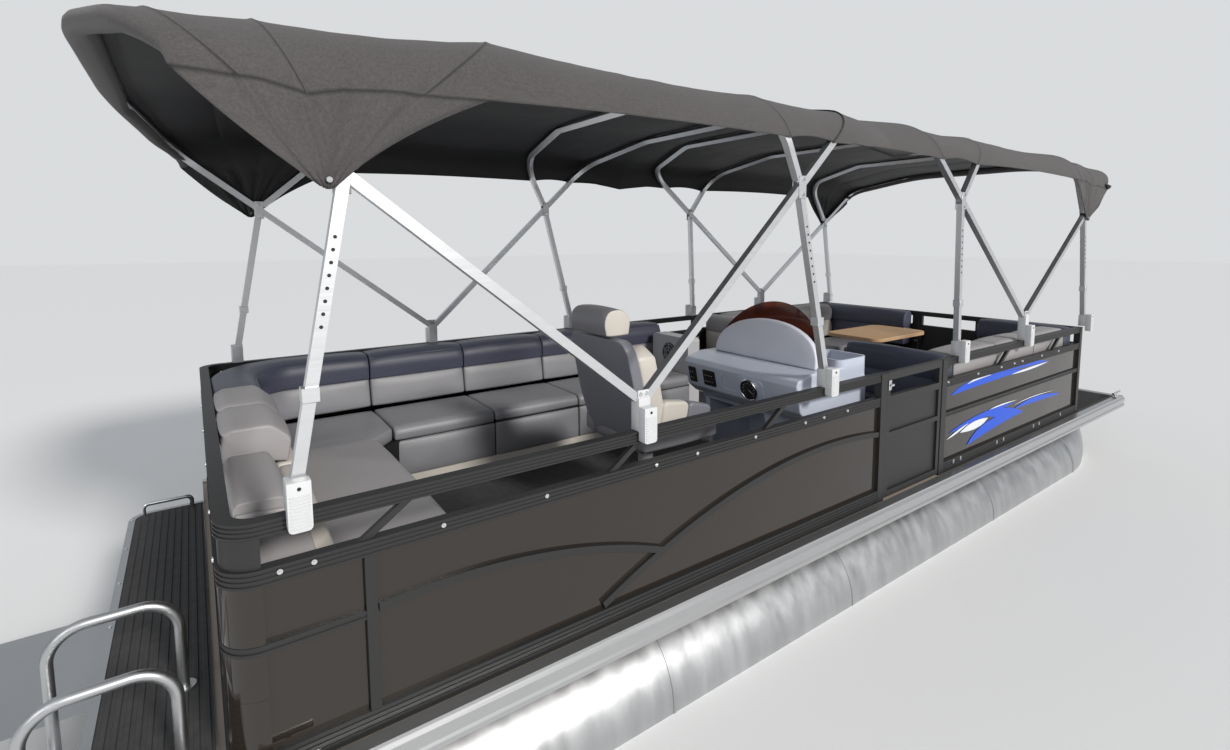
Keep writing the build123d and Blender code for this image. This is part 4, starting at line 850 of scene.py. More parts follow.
class SeatMaker:
    """Seats, fronts, boards and two-part backs for several operators; side is 1 to port, -1 to starboard."""

    # heights: a seat pad's foot, the foot of one on a lid, a pad's top, and a front panel's edges
    SEAT_LOW, LID_LOW, SEAT_TOP = 0.290, 0.296, 0.375
    FRONT_LOW, FRONT_HIGH = 0.082, 0.283
    # heights: a backrest's foot, where its band meets the roll, and the roll's top
    BACK_LOW, BAND, TOP = 0.376, 0.545, 0.700
    # y of a seat's rear edge, and height of a toe board's top
    SEAT_REAR, TOE_TOP = 0.908, 0.080

    def seat(self, name, x0, x1, side, front, low, **more):
        """A pad with a rolled front edge."""
        front, rear = side * front, side * self.SEAT_REAR
        outline = rectangle(front, rear, over(low), over(self.SEAT_TOP) - sizes().seat_crown)
        soft_block(name, outline, "rib", station(x0) + 0.0035, station(x1) - 0.0035, "grey_vinyl",
                   "vinyl_light", sewn=(0, 1, 2), bend_radius=0.036, **more)

    def seat_row(self, row, lid, cushions, spans, side=1, front=0.440, face=0.437):
        """Seats side by side with bulging front panels; the second pad rides on the row's lid."""
        for i, (x0, x1) in enumerate(spans):
            if i == 1:
                self.seat(lid + "_pad", x0, x1, side, front, self.LID_LOW, body=lid, replaces=(lid,))
            else:
                self.seat(f"{row}_seat_{i}", x0, x1, side, front, self.SEAT_LOW, replaces=(cushions,))
            y0, y1 = sorted((side * face, side * (face + 0.016)))
            outline = rectangle(y0, y1, over(self.FRONT_LOW), over(self.FRONT_HIGH))
            soft_block(f"{row}_front_{i}", outline, "rib", station(x0) + 0.004, station(x1) - 0.004,
                       "grey_vinyl", "vinyl_slate", crown=0.015, edge=0.014, end_crown=0.0)

    def corner_seat(self, name, plan):
        """A pad given by its corners, (station, y)."""
        soft_block(name, [(station(x), y) for x, y in plan], "plan", over(self.SEAT_LOW),
                   over(self.SEAT_TOP) - sizes().seat_crown, "grey_vinyl", "vinyl_light", end_crown=0.012)

    def toe_board(self, name, x0, x1, y0, y1):
        """A board that stands on the deck under a seat's front."""
        bm = bmesh.new()
        box_into(bm, (station(x0), y0, DECK), (station(x1), y1, over(self.TOE_TOP)))
        round_edges(bm, bm.edges[:], 0.002, 1)
        place(bm, name, ["toe_board"], slot="seat_plastic")

    def two_part(self, name, band, roll, plane, start, end, finishes, bend_radius, replaces=(), **more):
        """A lower band and the roll over it, each given by its section and its finish."""
        crown = sizes().back_crown
        soft_block(name + "_band", band, plane, start, end, finishes[0], "vinyl_slate", crown=crown,
                   replaces=replaces, **more)
        soft_block(name + "_roll", roll, plane, start, end, finishes[1], "vinyl_slate", crown=crown,
                   sewn=(0, 1), bend_radius=bend_radius, **more)

    def back(self, name, start, end, finishes, side=1, **more):
        """A backrest that faces inboard, from start to end along the boat or along a warp's path."""
        band = [(0.932, self.BACK_LOW), (1.130, self.BACK_LOW), (1.130, self.BAND), (0.958, self.BAND)]
        roll = [(0.948, self.BAND + 0.002), (1.160, self.BAND + 0.002), (1.160, self.TOP - 0.010),
                (0.990, self.TOP - 0.006), (0.948, self.TOP - 0.055)]
        band, roll = [[(side * y, over(z)) for y, z in section] for section in (band, roll)]
        self.two_part(name, band, roll, "rib", start, end, finishes, 0.045, **more)

    def back_row(self, row, replaced, spans, finishes, side=1):
        """Backrests side by side."""
        for i, (x0, x1) in enumerate(spans):
            self.back(f"{row}_back_{i}", station(x0) + 0.003, station(x1) - 0.003, finishes, side,
                      replaces=(replaced,))

    def cross_back(self, name, x0, x1, y0, y1, finishes, facing=1):
        """A back across the boat; facing is 1 where its soft face looks forward."""
        front, rear = (x1, x0) if facing > 0 else (x0, x1)
        lean = 0.016 * facing
        band = [(front, self.BACK_LOW), (rear, self.BACK_LOW), (rear, self.BAND), (front - lean, self.BAND)]
        roll = [(front, self.BAND + 0.002), (rear, self.BAND + 0.002), (rear, self.TOP - 0.010),
                (front - 2.6 * lean, self.TOP - 0.006), (front, self.TOP - 0.055)]
        self.two_part(name, in_boat(band), in_boat(roll), "side", y0, y1, finishes, 0.035)


class BOAT_OT_lounge(BoatOperator, SeatMaker, bpy.types.Operator):
    """Upholster the port lounge and its curved stern corner"""

    bl_idname = "boat.lounge"
    bl_label = "Port lounge"

    # stations where one seat or backrest meets the next, and where the last seat and the last backrest end
    SPLITS = (0.860, 1.460, 2.060, 2.660)
    END, BACK_END = 3.055, 3.190
    # the curved back's middle line in plan, (station, y), with the corner's radius
    CURVE = ((0.856, 1.055), (0.148, 1.055), (0.148, 0.450))
    CURVE_RADIUS = 0.30

    def execute(self, context):
        # the base is near-black so that the gaps between the pads read dark: painted shade
        finish_nodes("seam_black", "lounge_base_aft")
        ends = (*self.SPLITS, self.END)
        self.seat_row("lounge", "port_seat_lid", "aft_seat_cushions", zip(ends, ends[1:]))
        self.toe_board("lounge_toe_board", 0.905, 3.05, 0.446, 0.474)
        finishes = ("grey_vinyl", "slate_vinyl")
        ends = (*self.SPLITS, self.BACK_END)
        self.back_row("lounge", "aft_backrests", zip(ends, ends[1:]), finishes)
        path = rounded_path(self.CURVE, [self.CURVE_RADIUS])
        total = path_length(path)

        def warp(across, up, along):
            here, ahead = along_path(path, along / total), along_path(path, min(1.0, (along + 0.01) / total))
            behind = along_path(path, max(0.0, (along - 0.01) / total))
            heading = (ahead - behind).normalized()
            outward = Vector((heading.y, -heading.x))
            point = here + outward * (across - self.CURVE[0][1])
            return Vector((station(point.x), point.y, up))

        self.back("lounge_corner_back", 0.0, total, finishes, warp=warp, spacing=0.035)
        self.corner_seat("lounge_corner_seat",
                         [(0.300, 0.900), (0.300, 0.338), (0.735, 0.338), (0.852, 0.452), (0.852, 0.900)])
        return {"FINISHED"}


class BOAT_OT_stern_lounge(BoatOperator, SeatMaker, bpy.types.Operator):
    """Upholster the stern seat, its back and the two headrests"""

    bl_idname = "boat.stern_lounge"
    bl_label = "Stern lounge"

    # sections of the parts, (station, height)
    FRONT = ((0.738, 0.082), (0.756, 0.082), (0.756, 0.283), (0.738, 0.283))
    BACK = ((0.058, 0.378), (0.226, 0.378), (0.214, 0.560), (0.190, 0.612), (0.072, 0.616), (0.058, 0.600))
    LUMBAR = ((0.232, 0.378), (0.335, 0.378), (0.286, 0.548), (0.222, 0.548))
    HEADREST = ((0.052, 0.604), (0.262, 0.556), (0.276, 0.645), (0.212, 0.706), (0.075, 0.706),
                (0.052, 0.680))
    END = ((0.062, 0.070), (0.735, 0.070), (0.735, 0.282), (0.300, 0.300), (0.235, 0.580), (0.062, 0.590))

    def across(self, name, section, y0, y1, finish, **more):
        """A part pulled across the boat."""
        soft_block(name, in_boat(section), "side", y0, y1, finish, "vinyl_light", **more)

    def execute(self, context):
        top = self.SEAT_TOP - sizes().seat_crown
        seat = rectangle(0.752, 0.292, self.SEAT_LOW, top)
        self.across("stern_seat", seat, -0.850, 0.330, "pale_vinyl", sewn=(0, 1, 2), bend_radius=0.040)
        self.across("stern_seat_front", self.FRONT, -0.850, 0.290, "pale_vinyl", crown=0.012, edge=0.006)
        self.toe_board("stern_toe_board", 0.712, 0.744, -0.84, 0.27)
        for i, (y0, y1) in enumerate([(-0.856, -0.362), (-0.354, 0.032), (0.040, 0.440)]):
            self.across(f"stern_back_{i}", self.BACK, y0, y1, "pale_vinyl", sewn=(0, 1), bend_radius=0.030)
            self.across(f"stern_lumbar_{i}", self.LUMBAR, y0 + 0.004, y1 - 0.004, "cream_vinyl", sewn=(0,),
                        bend_radius=0.018, crown=0.008)
        for i, (y0, y1) in enumerate([(-0.352, 0.030), (0.042, 0.424)]):
            self.across(f"stern_headrest_{i}", self.HEADREST, y0, y1, "pale_vinyl", sewn=(0, 1),
                        bend_radius=0.036, replaces=("stern_headrests",))
        self.across("stern_end_panel", self.END, -0.878, -0.861, "pale_vinyl", crown=0.0, end_crown=0.006,
                    edge=0.006)
        return {"FINISHED"}


class BOAT_OT_bow_lounges(BoatOperator, SeatMaker, bpy.types.Operator):
    """Upholster both bow lounges and finish the speaker in its pod"""

    bl_idname = "boat.bow_lounges"
    bl_label = "Bow lounges"

    # stations where the first seat and backrest end, and the spans of the others
    FIRST_END = 4.395
    SEATS = ((4.400, 5.000), (5.005, 5.560))
    BACKS = ((4.400, 4.995), (5.000, 5.560))
    # each side, with its name, the station where its first seat begins, and its seats' front edge
    SIDES = ((-1, "starboard", 3.800, 0.505), (1, "port", 4.060, 0.475))
    # the speaker's middle, (y, height), and its rings, (outer radius, height)
    SPEAKER = (0.690, 0.500)
    SPEAKER_RINGS = ((0.076, 0.006), (0.050, 0.005), (0.026, 0.008))

    def execute(self, context):
        # the bases are near-black so that the gaps between the pads read dark: painted shade
        finish_nodes("seam_black", "lounge_bases_bow")
        light, dark = ("cream_vinyl", "pale_vinyl"), ("slate_vinyl", "slate_vinyl")
        for side, name, start, front in self.SIDES:
            row = "bow_" + name
            first = (start, self.FIRST_END)
            self.seat_row(row, row + "_seat_lid", "bow_seat_cushions", (first, *self.SEATS), side, front,
                          front - 0.020)
            self.back_row(row, "bow_backrests", (first, *self.BACKS), light, side)
        self.cross_back("bow_starboard_fore_back", 5.572, 5.712, -1.160, -0.508, dark, -1)
        self.cross_back("bow_port_fore_back", 5.572, 5.712, 0.158, 1.160, dark, -1)
        self.cross_back("chaise_back", 3.650, 3.784, -1.160, -0.508, dark, 1)
        self.cross_back("bow_port_aft_back", 3.905, 4.048, 0.482, 1.160, light, 1)
        self.corner_seat("bow_corner_seat", [(5.092, 0.162), (5.092, 0.470), (5.556, 0.470), (5.556, 0.162)])
        self.toe_board("bow_starboard_toe_board", 3.66, 5.66, -0.532, -0.500)
        self.toe_board("bow_port_toe_board", 3.95, 5.07, 0.470, 0.502)
        self.speaker_end()
        return {"FINISHED"}

    def speaker_end(self):
        """The pod's moulding and the speaker's rings and spokes."""
        finish_nodes("pod_moulding", "speaker_pod")
        finish_nodes("black_plastic", "speaker")
        bm = bmesh.new()
        for radius, height in self.SPEAKER_RINGS:
            profile = ((radius, 0.0), (radius, height), (radius - 0.006, height), (radius - 0.006, 0.0))
            ring_into(bm, profile, 40, closed=True)
        for i in range(6):
            bar_into(bm, (0.048, 0.010, 0.004), (0.048, 0, 0.0035), math.tau * i / 6)
        y, height = self.SPEAKER
        where = Matrix.Translation((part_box("speaker")[0].x, y, over(height)))
        turn = Matrix.Rotation(math.radians(-90), 4, "Y")
        bmesh.ops.transform(bm, matrix=where @ turn, verts=bm.verts)
        place(bm, "speaker_grille", ["grey_plastic"], slot="speaker_black")


class BOAT_OT_helm(BoatOperator, bpy.types.Operator):
    """Finish the console, its arch pad, screen and instruments, and upholster the helm chair"""

    bl_idname = "boat.helm"
    bl_label = "Helm"

    CHAIR = (1.850, -0.560)
    # middles of the rockers across the boat, and how far their faces stand off the dash
    ROCKERS, ROCKER_FACE = (-0.343, -0.361, -0.463, -0.481, -0.499, -0.517), 0.0101
    # the dash: its (station, height), the way it faces, the way up it, and y of the gauge
    DASH, DASH_FACING, DASH_UP, GAUGE = (2.368, 0.6145), (-139, 0, -32), (-32, 0, 139), -0.800
    BEZEL = ((0.049, 0.016), (0.055, 0.0215), (0.059, 0.018), (0.059, 0.007))
    # the dial: how many marks, the first one's angle and the step to the next, and the needle's, in degrees
    MARKS, FIRST_MARK, MARK_STEP, NEEDLE = 11, 225, 27, 215
    # how far the chair's back leans aft for each metre above a height
    RECLINE, RECLINE_FROM = 0.22, 0.53

    def execute(self, context):
        finish_nodes("console_gelcoat", "helm_console")
        finish_nodes("tinted_screen", "windscreen")
        finish_nodes("black_plastic", "dash_instruments")
        finish_nodes("grey_plastic", "chair_pedestal")
        low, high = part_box("console_pad")
        middle, half, rise = (low.y + high.y) / 2, (high.y - low.y) / 2, high.z - low.z
        arch, steps = [], 24
        for i in range(steps + 1):
            turn = math.pi * i / steps
            height = low.z + 0.002 + rise * max(0.0, math.sin(turn)) ** 0.80
            arch.append((middle + half * math.cos(turn), height))
        lean = math.tan(math.radians(12))
        soft_block("console_arch", arch, "rib", 0.0, 0.034, "arch_vinyl", "vinyl_light", crown=0.004,
                   edge=0.008, end_crown=0.010, spacing=0.05, fill=0.9, replaces=("console_pad",),
                   warp=lambda a, b, c: Vector((low.x + 0.002 + c + (b - low.z) * lean, a, b)))
        self.instruments()
        self.chair()
        return {"FINISHED"}

    def on_dash(self, bm, y, name, finish, slot):
        """Moves what was made flat about the origin to a place on the dash, as a piece."""
        x, z = self.DASH
        rows = (Vector((0, 1, 0)), Vector(self.DASH_UP).normalized(), Vector(self.DASH_FACING).normalized())
        matrix = Matrix.Translation((station(x), y, over(z))) @ Matrix(rows).transposed().to_4x4()
        bmesh.ops.transform(bm, matrix=matrix, verts=bm.verts)
        place(bm, name, [finish], slot=slot)

    def instruments(self):
        """Bezel, dial marks, needle, and white marks on the rockers that stand for their glints: painted
        highlights.
        """
        rocker_glints = bmesh.new()
        # two white marks on each rocker stand for the glints on it: painted highlights
        for y in self.ROCKERS:
            for height in (-0.018, 0.018):
                bar_into(rocker_glints, (0.007, 0.004, 0.0008), (y, height, self.ROCKER_FACE))
        self.on_dash(rocker_glints, 0.0, "switch_legends", "white_plastic", "instrument_black")
        bezel = bmesh.new()
        ring_into(bezel, self.BEZEL, 48, closed=False)
        self.on_dash(bezel, self.GAUGE, "gauge_bezel", "bright_steel", "steel_bright")
        marks = bmesh.new()
        for i in range(self.MARKS):
            angle = math.radians(self.FIRST_MARK - self.MARK_STEP * i)
            bar_into(marks, (0.008, 0.0018, 0.0008), (0.038, 0, 0.0174), angle)
        bar_into(marks, (0.034, 0.002, 0.001), (0.014, 0, 0.0178), math.radians(self.NEEDLE))
        self.on_dash(marks, self.GAUGE, "gauge_marks", "white_plastic", "instrument_black")

    def chair(self):
        """A shell back with bolsters, a seat with a rolled front and a two-tone headrest."""
        cx, cy = station(self.CHAIR[0]), self.CHAIR[1]

        def upright(name, points, base, depth, finish, slot="vinyl_light", **more):
            """A part of the back, given by (y, height) from the chair's middle, leaning aft."""
            def warp(a, b, c):
                return Vector((cx + base + c - (b - over(self.RECLINE_FROM)) * self.RECLINE, cy + a, b))

            outline = [(y, over(z)) for y, z in points]
            soft_block(name, outline, "rib", 0.0, depth, finish, slot, body="helm_chair", warp=warp, **more)

        def sideways(name, points, y0, y1, finish, **more):
            """A part pulled across the chair, given by (x from the chair's middle, height)."""
            outline = [(cx + x, over(z)) for x, z in points]
            soft_block(name, outline, "side", cy + y0, cy + y1, finish, "vinyl_light", body="helm_chair",
                       **more)

        shell = [(-0.205, 0.40), (0.205, 0.40), (0.250, 0.62), (0.242, 0.905), (0.205, 0.945),
                 (-0.205, 0.945), (-0.242, 0.905), (-0.250, 0.62)]
        upright("chair_shell", shell, -0.215, 0.055, "shell_vinyl", "vinyl_slate", sewn=(0, 1),
                bend_radius=0.05, crown=0.004, end_crown=0.012, replaces=("helm_chair_back",))
        inner = rectangle(-0.150, 0.150, 0.545, 0.900)
        upright("chair_back_pad", inner, -0.158, 0.060, "grey_vinyl", crown=0.006, end_crown=0.020,
                bands=((1, over(0.72)),))
        for side in (-1, 1):
            wing = [(side * y, z) for y, z in ((0.155, 0.50), (0.235, 0.50), (0.240, 0.86), (0.155, 0.91))]
            upright(f"chair_bolster_{side + 1}", wing, -0.158, 0.105, "cream_vinyl", crown=0.010,
                    end_crown=0.018)
            arm = [(-0.10, 0.530), (0.060, 0.530), (0.075, 0.616), (-0.08, 0.640)]
            nose = [(0.064, 0.530), (0.215, 0.530), (0.225, 0.575), (0.080, 0.614)]
            y0, y1 = sorted((side * 0.185, side * 0.250))
            for name, points, finish in (("side", arm, "cream_vinyl"), ("nose", nose, "shell_vinyl")):
                sideways(f"chair_{name}_{side + 1}", points, y0, y1, finish, sewn=(0,), bend_radius=0.025,
                         crown=0.010)
        seat = [(-0.200, 0.418), (0.262, 0.418), (0.262, 0.520), (-0.200, 0.512)]
        sideways("chair_seat", seat, -0.250, 0.250, "grey_vinyl", sewn=(0, 1, 3), bend_radius=0.045,
                 crown=0.016, channels=(cy - 0.170, cy + 0.170), replaces=("helm_chair_seat",))
        head = [(-0.340, 0.965), (-0.215, 0.965), (-0.205, 1.040), (-0.255, 1.085), (-0.330, 1.078),
                (-0.352, 1.030)]
        sideways("chair_headrest", head, -0.150, 0.150, "grey_vinyl", sewn=(0, 1), bend_radius=0.035,
                 crown=0.008, end_crown=0.014, end_finish="cream_vinyl")


class BOAT_OT_table(BoatOperator, bpy.types.Operator):
    """Finish the bow table"""

    bl_idname = "boat.table"
    bl_label = "Table"

    def execute(self, context):
        finish_nodes("teak", "table_top")
        finish_nodes("grey_plastic", "table_leg")
        return {"FINISHED"}


class BOAT_OT_sun_tops(BoatOperator, bpy.types.Operator):
    """Sew the canvas of both sun tops and of the joint between them, and fit the frames' plates"""

    bl_idname = "boat.sun_tops"
    bl_label = "Sun tops"

    # half a bow across the boat: end of the flat top, outer face, drop to the outer corner, both radii
    FLAT, OUTER, FALL, RADII = 0.560, 1.2090, 0.134, (1.2, 0.225)
    # each canvas: lines where it is held, (station of the crown, its height, lean along the boat for each
    # metre of drop, hem's height), how far the cloth flares out past the first and last line's bow, and its
    # pointed flaps: stations where they leave the hem, apex, and the middle of each edge
    CANVASES = {
        "canopy_aft": dict(
            lines=((-0.252, 2.058, 1.27, 1.800), (-0.165, 2.066, 1.05, 1.796), (0.120, 2.083, 0.45, 1.772),
                   (0.920, 2.139, -1.10, 1.808), (2.000, 2.139, 0.49, 1.845), (2.746, 2.138, -1.02, 1.850)),
            flare=(6.5, 0.0), rolled=(True, False), tube=(0.340, 1.585, -1.272), seams=(1, 2, 3, 4),
            creases=0.007, rests=["top_frame_aft"],
            flap=((-1.0, 0.79), (0.300, 1.538), (0.120, 1.672), (0.505, 1.690))),
        "canopy_joint": dict(
            lines=((2.730, 2.143, -1.00, 1.846), (2.930, 2.118, 0.05, 1.858), (3.120, 2.143, 1.18, 1.846)),
            flare=(0.0, 0.0), rolled=(False, False), seams=(0, 2), creases=0.016,
            rests=["top_frame_aft", "top_frame_forward"], flap=None),
        "canopy_forward": dict(
            lines=((3.096, 2.138, 1.22, 1.850), (4.080, 2.139, -0.75, 1.845), (5.360, 2.139, 0.66, 1.840),
                   (5.880, 2.112, -0.40, 1.815), (6.405, 2.088, -1.39, 1.800)),
            flare=(0.0, 6.5), rolled=(False, True), tube=(5.710, 1.580, 1.392), seams=(1, 2, 3),
            creases=0.007, rests=["top_frame_forward"],
            flap=((5.43, 9.0), (5.720, 1.540), (5.560, 1.700), (5.930, 1.660))),
    }
    # the cloth: distance between its rows, a seam's half width and height, and where across the boat it turns
    # down into its sides and over what width
    ROW, SEAM, SEAM_HEIGHT, SIDE, TURN = 0.045, 0.009, 0.0035, 1.02, 0.18

    # feet on the grab rail: station, heights of the top and of the cap, and of the ears where two bows meet
    FEET = ((0.190, 0.792, 0.784, 0.0), (1.335, 0.792, 0.822, 0.850), (2.450, 0.792, 0.784, 0.0),
            (3.760, 0.792, 0.784, 0.0), (4.700, 0.805, 0.872, 0.900), (5.850, 0.792, 0.784, 0.0))
    # a foot's parts: half the length, and how far out from the fence the inner and the outer face lie
    BODY, CAP = (0.029, -0.0025, 0.0370), (0.027, -0.0510, -0.0020)
    EARS, RIB = (0.026, -0.0140, -0.0095), (0.0235, 0.0360, 0.0402)
    FOOT_LOW, CAP_LOW = 0.658, 0.6955
    # the feet's ribs: how many, the first one's height over the foot's end, the distance to the next, and
    # how high one is
    RIBS, RIB_LOW, RIB_PITCH, RIB_HEIGHT = 10, 0.012, 0.0092, 0.0040
    # the pocket round the endmost bows: share of the way in to the bow, how far out past that, how far under
    # the cloth
    POCKET = ((0.0, 0.012, 0.002), (0.0, 0.020, 0.012), (0.0, 0.022, 0.030), (0.0, 0.010, 0.048),
              (0.5, 0.0, 0.058), (1.0, -0.020, 0.057), (1.0, -0.034, 0.036), (1.0, -0.036, 0.008))

    def held_line(self, line, flare):
        """Points of the cloth over one bow or seam, from the starboard hem over the crown to the port hem."""
        crown_x, crown_z, lean, hem = line
        stretch = math.hypot(1.0, lean)
        corners = [(0.0, 0.0), (self.FLAT, 0.0), (self.OUTER, self.FALL * stretch),
                   (self.OUTER, (crown_z - hem) * stretch)]
        path = rounded_path(corners, self.RADII, step=0.02)
        steps = 36
        half = [along_path(path, share) for share in (*[i / steps for i in range(steps)], 0.992, 1.0)]
        points = []
        for y, slope in [(-p.x, p.y) for p in reversed(half)] + [(p.x, p.y) for p in half[1:]]:
            drop = slope / stretch
            x = crown_x + lean * drop - math.copysign(flare, lean) * max(0.0, drop - 0.14) ** 2
            points.append(Vector((x, y, crown_z - drop)))
        return points

    def pull(self, point, canvas):
        """How far creases that run out from the flap's snap lift the cloth at a point on the boat's side."""
        if not canvas["flap"]:
            return 0.0
        x, z = canvas["flap"][1]
        away = Vector((point.x - x, point.z - z))
        reach, turn = away.length, math.atan2(away.y, away.x)
        crease = 1.0 - abs(noise.noise(Vector((turn * 3.4, reach * 0.8, x)))) * 5.0
        return 0.013 * max(0.0, crease) * math.exp(-((reach - 0.26) / 0.18) ** 2)

    def lie(self, p, canvas, hem, slack, away, seam):
        """Moves a point of the stretched cloth by sag, seam, waves and tucks. slack is 1 midway between two
        bows, and away is the distance to the nearer one."""

        def ripple(x, y, z):
            return noise.noise(Vector((p.x * x, p.y * y, p.z * z)))

        steep = min(1.0, max(0.0, (abs(p.y) - self.SIDE) / self.TURN))
        wave = canvas["creases"] * ripple(2.3, 4.0, 2.0) + 0.0026 * ripple(9, 15, 6)
        tuck = 0.0045 * ripple(11, 3.5, 5) * (1.0 - math.exp(-(away / 0.04) ** 2))
        out = seam * math.exp(-(away / self.SEAM) ** 2) + wave * slack + tuck
        scallop = 0.018 * slack * steep * max(0.0, 1.0 - (p.z - hem) / 0.10)
        p.z += (out - sizes().canvas_sag * slack) * (1.0 - steep) + scallop
        p.y += math.copysign(1.0, p.y) * steep * (abs(out) - 0.006 * slack + self.pull(p, canvas))

    def grid_points(self, canvas):
        """Rows of cloth points, one for each place along the boat, and the numbers of the rows on a seam."""
        lines, flare = canvas["lines"], canvas["flare"]
        last = len(lines) - 1
        flares = [flare[0], *[0.0] * (last - 1), flare[1]]
        held = [self.held_line(line, out) for line, out in zip(lines, flares)]
        rows, sewn = [], set()
        for i in range(last):
            span = lines[i + 1][0] - lines[i][0]
            steps = max(4, int(span / self.ROW))
            near = self.SEAM / span
            places = {k / steps for k in range(steps)} | {near, 2.2 * near, 1 - near, 1 - 2.2 * near}
            for t in sorted(places) + ([1.0] if i == last - 1 else []):
                slack, away = 4 * t * (1 - t) * min(1.0, span / 0.9), min(t, 1 - t) * span
                seam = self.SEAM_HEIGHT if (i if t < 0.5 else i + 1) in canvas["seams"] else 0.0
                if away < 1e-6 and seam:
                    sewn.add(len(rows))
                row = [a.lerp(b, t) for a, b in zip(held[i], held[i + 1])]
                for p in row:
                    self.lie(p, canvas, lines[i][3], slack, away, seam)
                rows.append(row)
        return rows, sewn

    def roll_under(self, rows, at_start, tube):
        """Rows that carry an end of the cloth round its bow's tube, given by its knuckle and its lean."""
        edge, inner = (rows[0], rows[1]) if at_start else (rows[-1], rows[-2])
        highest, last = edge[len(edge) // 2].z - 0.028, len(edge) - 1
        added = []
        for share, ahead, below in self.POCKET:
            row = []
            for j, p in enumerate(edge):
                gap = abs(tube[0] + tube[2] * (min(p.z, highest) - tube[1]) - p.x)
                outward = (p - inner[j]).normalized()
                beside = edge[min(j + 1, last)] - edge[max(j - 1, 0)]
                normal = outward.cross(beside).normalized()
                if normal.z < 0 or (abs(normal.z) < 0.2 and normal.y * p.y < 0):
                    normal.negate()
                closed = min(1.0, min(j, last - j) / 4.0)
                row.append(p + (outward * (ahead - share * gap) - normal * below) * closed)
            added.append(row)
        return added

    def flap_rows(self, hem, canvas, side):
        """Rows of one pointed flap, from the hem's points down to its rounded apex."""
        (x0, x1), apex, aft_middle, fore_middle = canvas["flap"]
        chosen = [p for p in hem if x0 <= p.x <= x1]
        first, span = chosen[0].x, chosen[-1].x - chosen[0].x
        rows, steps = [], 22
        for k in range(steps + 1):
            t = k / steps
            row = []
            for top in chosen:
                share = (top.x - first) / span
                tip = Vector((apex[0] + 0.05 * (share - 0.5), top.y, apex[1] + 0.05 * (share - 0.5) ** 2))
                middle = Vector(aft_middle).lerp(Vector(fore_middle), share)
                straight = (top + tip) / 2
                control = Vector((middle.x * 2 - straight.x, top.y, middle.y * 2 - straight.z))
                if 0.001 < share < 0.999:
                    control = control.lerp(straight, 1.0 - abs(2 * share - 1))
                point = curve_point(top, control, tip, t)
                fold = 0.5 + 0.5 * math.sin(17.0 * share + 0.8) * math.cos(5.0 * share)
                lift = 0.004 * fold * math.sin(math.pi * min(1.0, t * 1.1)) ** 1.5 + 0.007 * t * t
                if k:
                    lift += self.pull(point, canvas) - self.pull(top, canvas) * (1.0 - t)
                point.y = side * (abs(top.y) + max(0.0, lift))
                row.append(point)
            rows.append(row)
        return rows

    def net(self, bm, rows, seam, sewn):
        """Adds a grid of faces over rows of points; sewn tells which of them lie on a seam."""
        columns, count = len(rows), len(rows[0])
        made = bmesh.ops.create_grid(bm, x_segments=columns - 1, y_segments=count - 1, size=0.5)["verts"]
        for v in made:
            i, j = round((v.co.x + 0.5) * (columns - 1)), round((v.co.y + 0.5) * (count - 1))
            p = rows[i][j]
            v.co = (station(p.x), p.y, over(p.z))
            v[seam] = float(sewn(i, j))

    def sew(self, name, canvas):
        """One canvas: the cloth over its bows, ends rolled round the outer bows, and its flaps."""
        rows, sewn = self.grid_points(canvas)
        plain, before = list(rows), 0
        hem_seam = canvas["flap"][0] if canvas["flap"] else (9.0, -9.0)
        if canvas["rolled"][0]:
            rows = self.roll_under(plain, True, canvas["tube"])[::-1] + rows
            before = len(self.POCKET)
        if canvas["rolled"][1]:
            rows = rows + self.roll_under(plain, False, canvas["tube"])
        bm = bmesh.new()
        seam = bm.verts.layers.float.new("seam")
        ends = (0, len(rows[0]) - 1)

        def on_seam(i, j):
            return i - before in sewn or j in ends and hem_seam[0] < rows[i][j].x < hem_seam[1]

        self.net(bm, rows, seam, on_seam)
        if canvas["flap"]:
            for side in (-1, 1):
                hem = [row[0 if side < 0 else -1] for row in plain]
                flap = self.flap_rows(hem, canvas, side)
                self.net(bm, flap, seam, lambda i, j: i == 0)
        bmesh.ops.remove_doubles(bm, verts=bm.verts, dist=1e-4)
        bmesh.ops.recalc_face_normals(bm, faces=bm.faces)
        highest = max(bm.faces, key=lambda f: f.calc_center_median().z)
        if highest.normal.z < 0:
            bmesh.ops.reverse_faces(bm, faces=bm.faces)
        area = sum(face.calc_area() for face in bm.faces)
        obj = add_object(name + "_cloth", mesh_from(bm, name + "_cloth", ["top_canvas", "canvas_lining"]))
        # the inner shell takes the second material, the darkened underside: painted shade
        shell = obj.modifiers.new("thickness", "SOLIDIFY")
        shell.thickness, shell.offset, shell.material_offset = sizes().canvas, -1.0, 1
        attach(obj, HULL)
        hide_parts(name)
        girth = max(path_length(row) for row in plain)
        reach = max(path_length(line) for line in zip(*rows))
        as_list(canvas["rests"])

    # legs with a plate at the knuckle: stations of foot and knuckle, and the knuckle's height
    LEGS = ((0.190, 0.340, 1.585), (2.450, 2.230, 1.640), (3.760, 3.720, 1.630), (5.850, 5.710, 1.580))
    # bolts through the ears, and snaps at the flaps' apexes, (station, height)
    EAR_BOLTS = ((1.335, 0.836), (4.700, 0.886))
    SNAPS = ((0.303, 1.562), (5.720, 1.564))
    # a plate: half its length, its thickness, and its edges and bolts over and under the knuckle
    PLATE_HALF, PLATE_THICK, PLATE_EDGES, PLATE_BOLTS = 0.024, 0.004, (-0.055, 0.045), (-0.038, 0.028)
    # y of the tubes' inner and outer face and of a snap
    INNER_FACE, OUTER_FACE, SNAP_FACE = 1.1735, 1.2065, 1.2175
    # a leg's adjusting holes: how many, and as shares of the leg, the first one and the distance to the next
    HOLES, HOLE, HOLE_PITCH = 8, 0.52, 0.042
    # the clamp's place, as a share of the leg
    CLAMP = 0.30

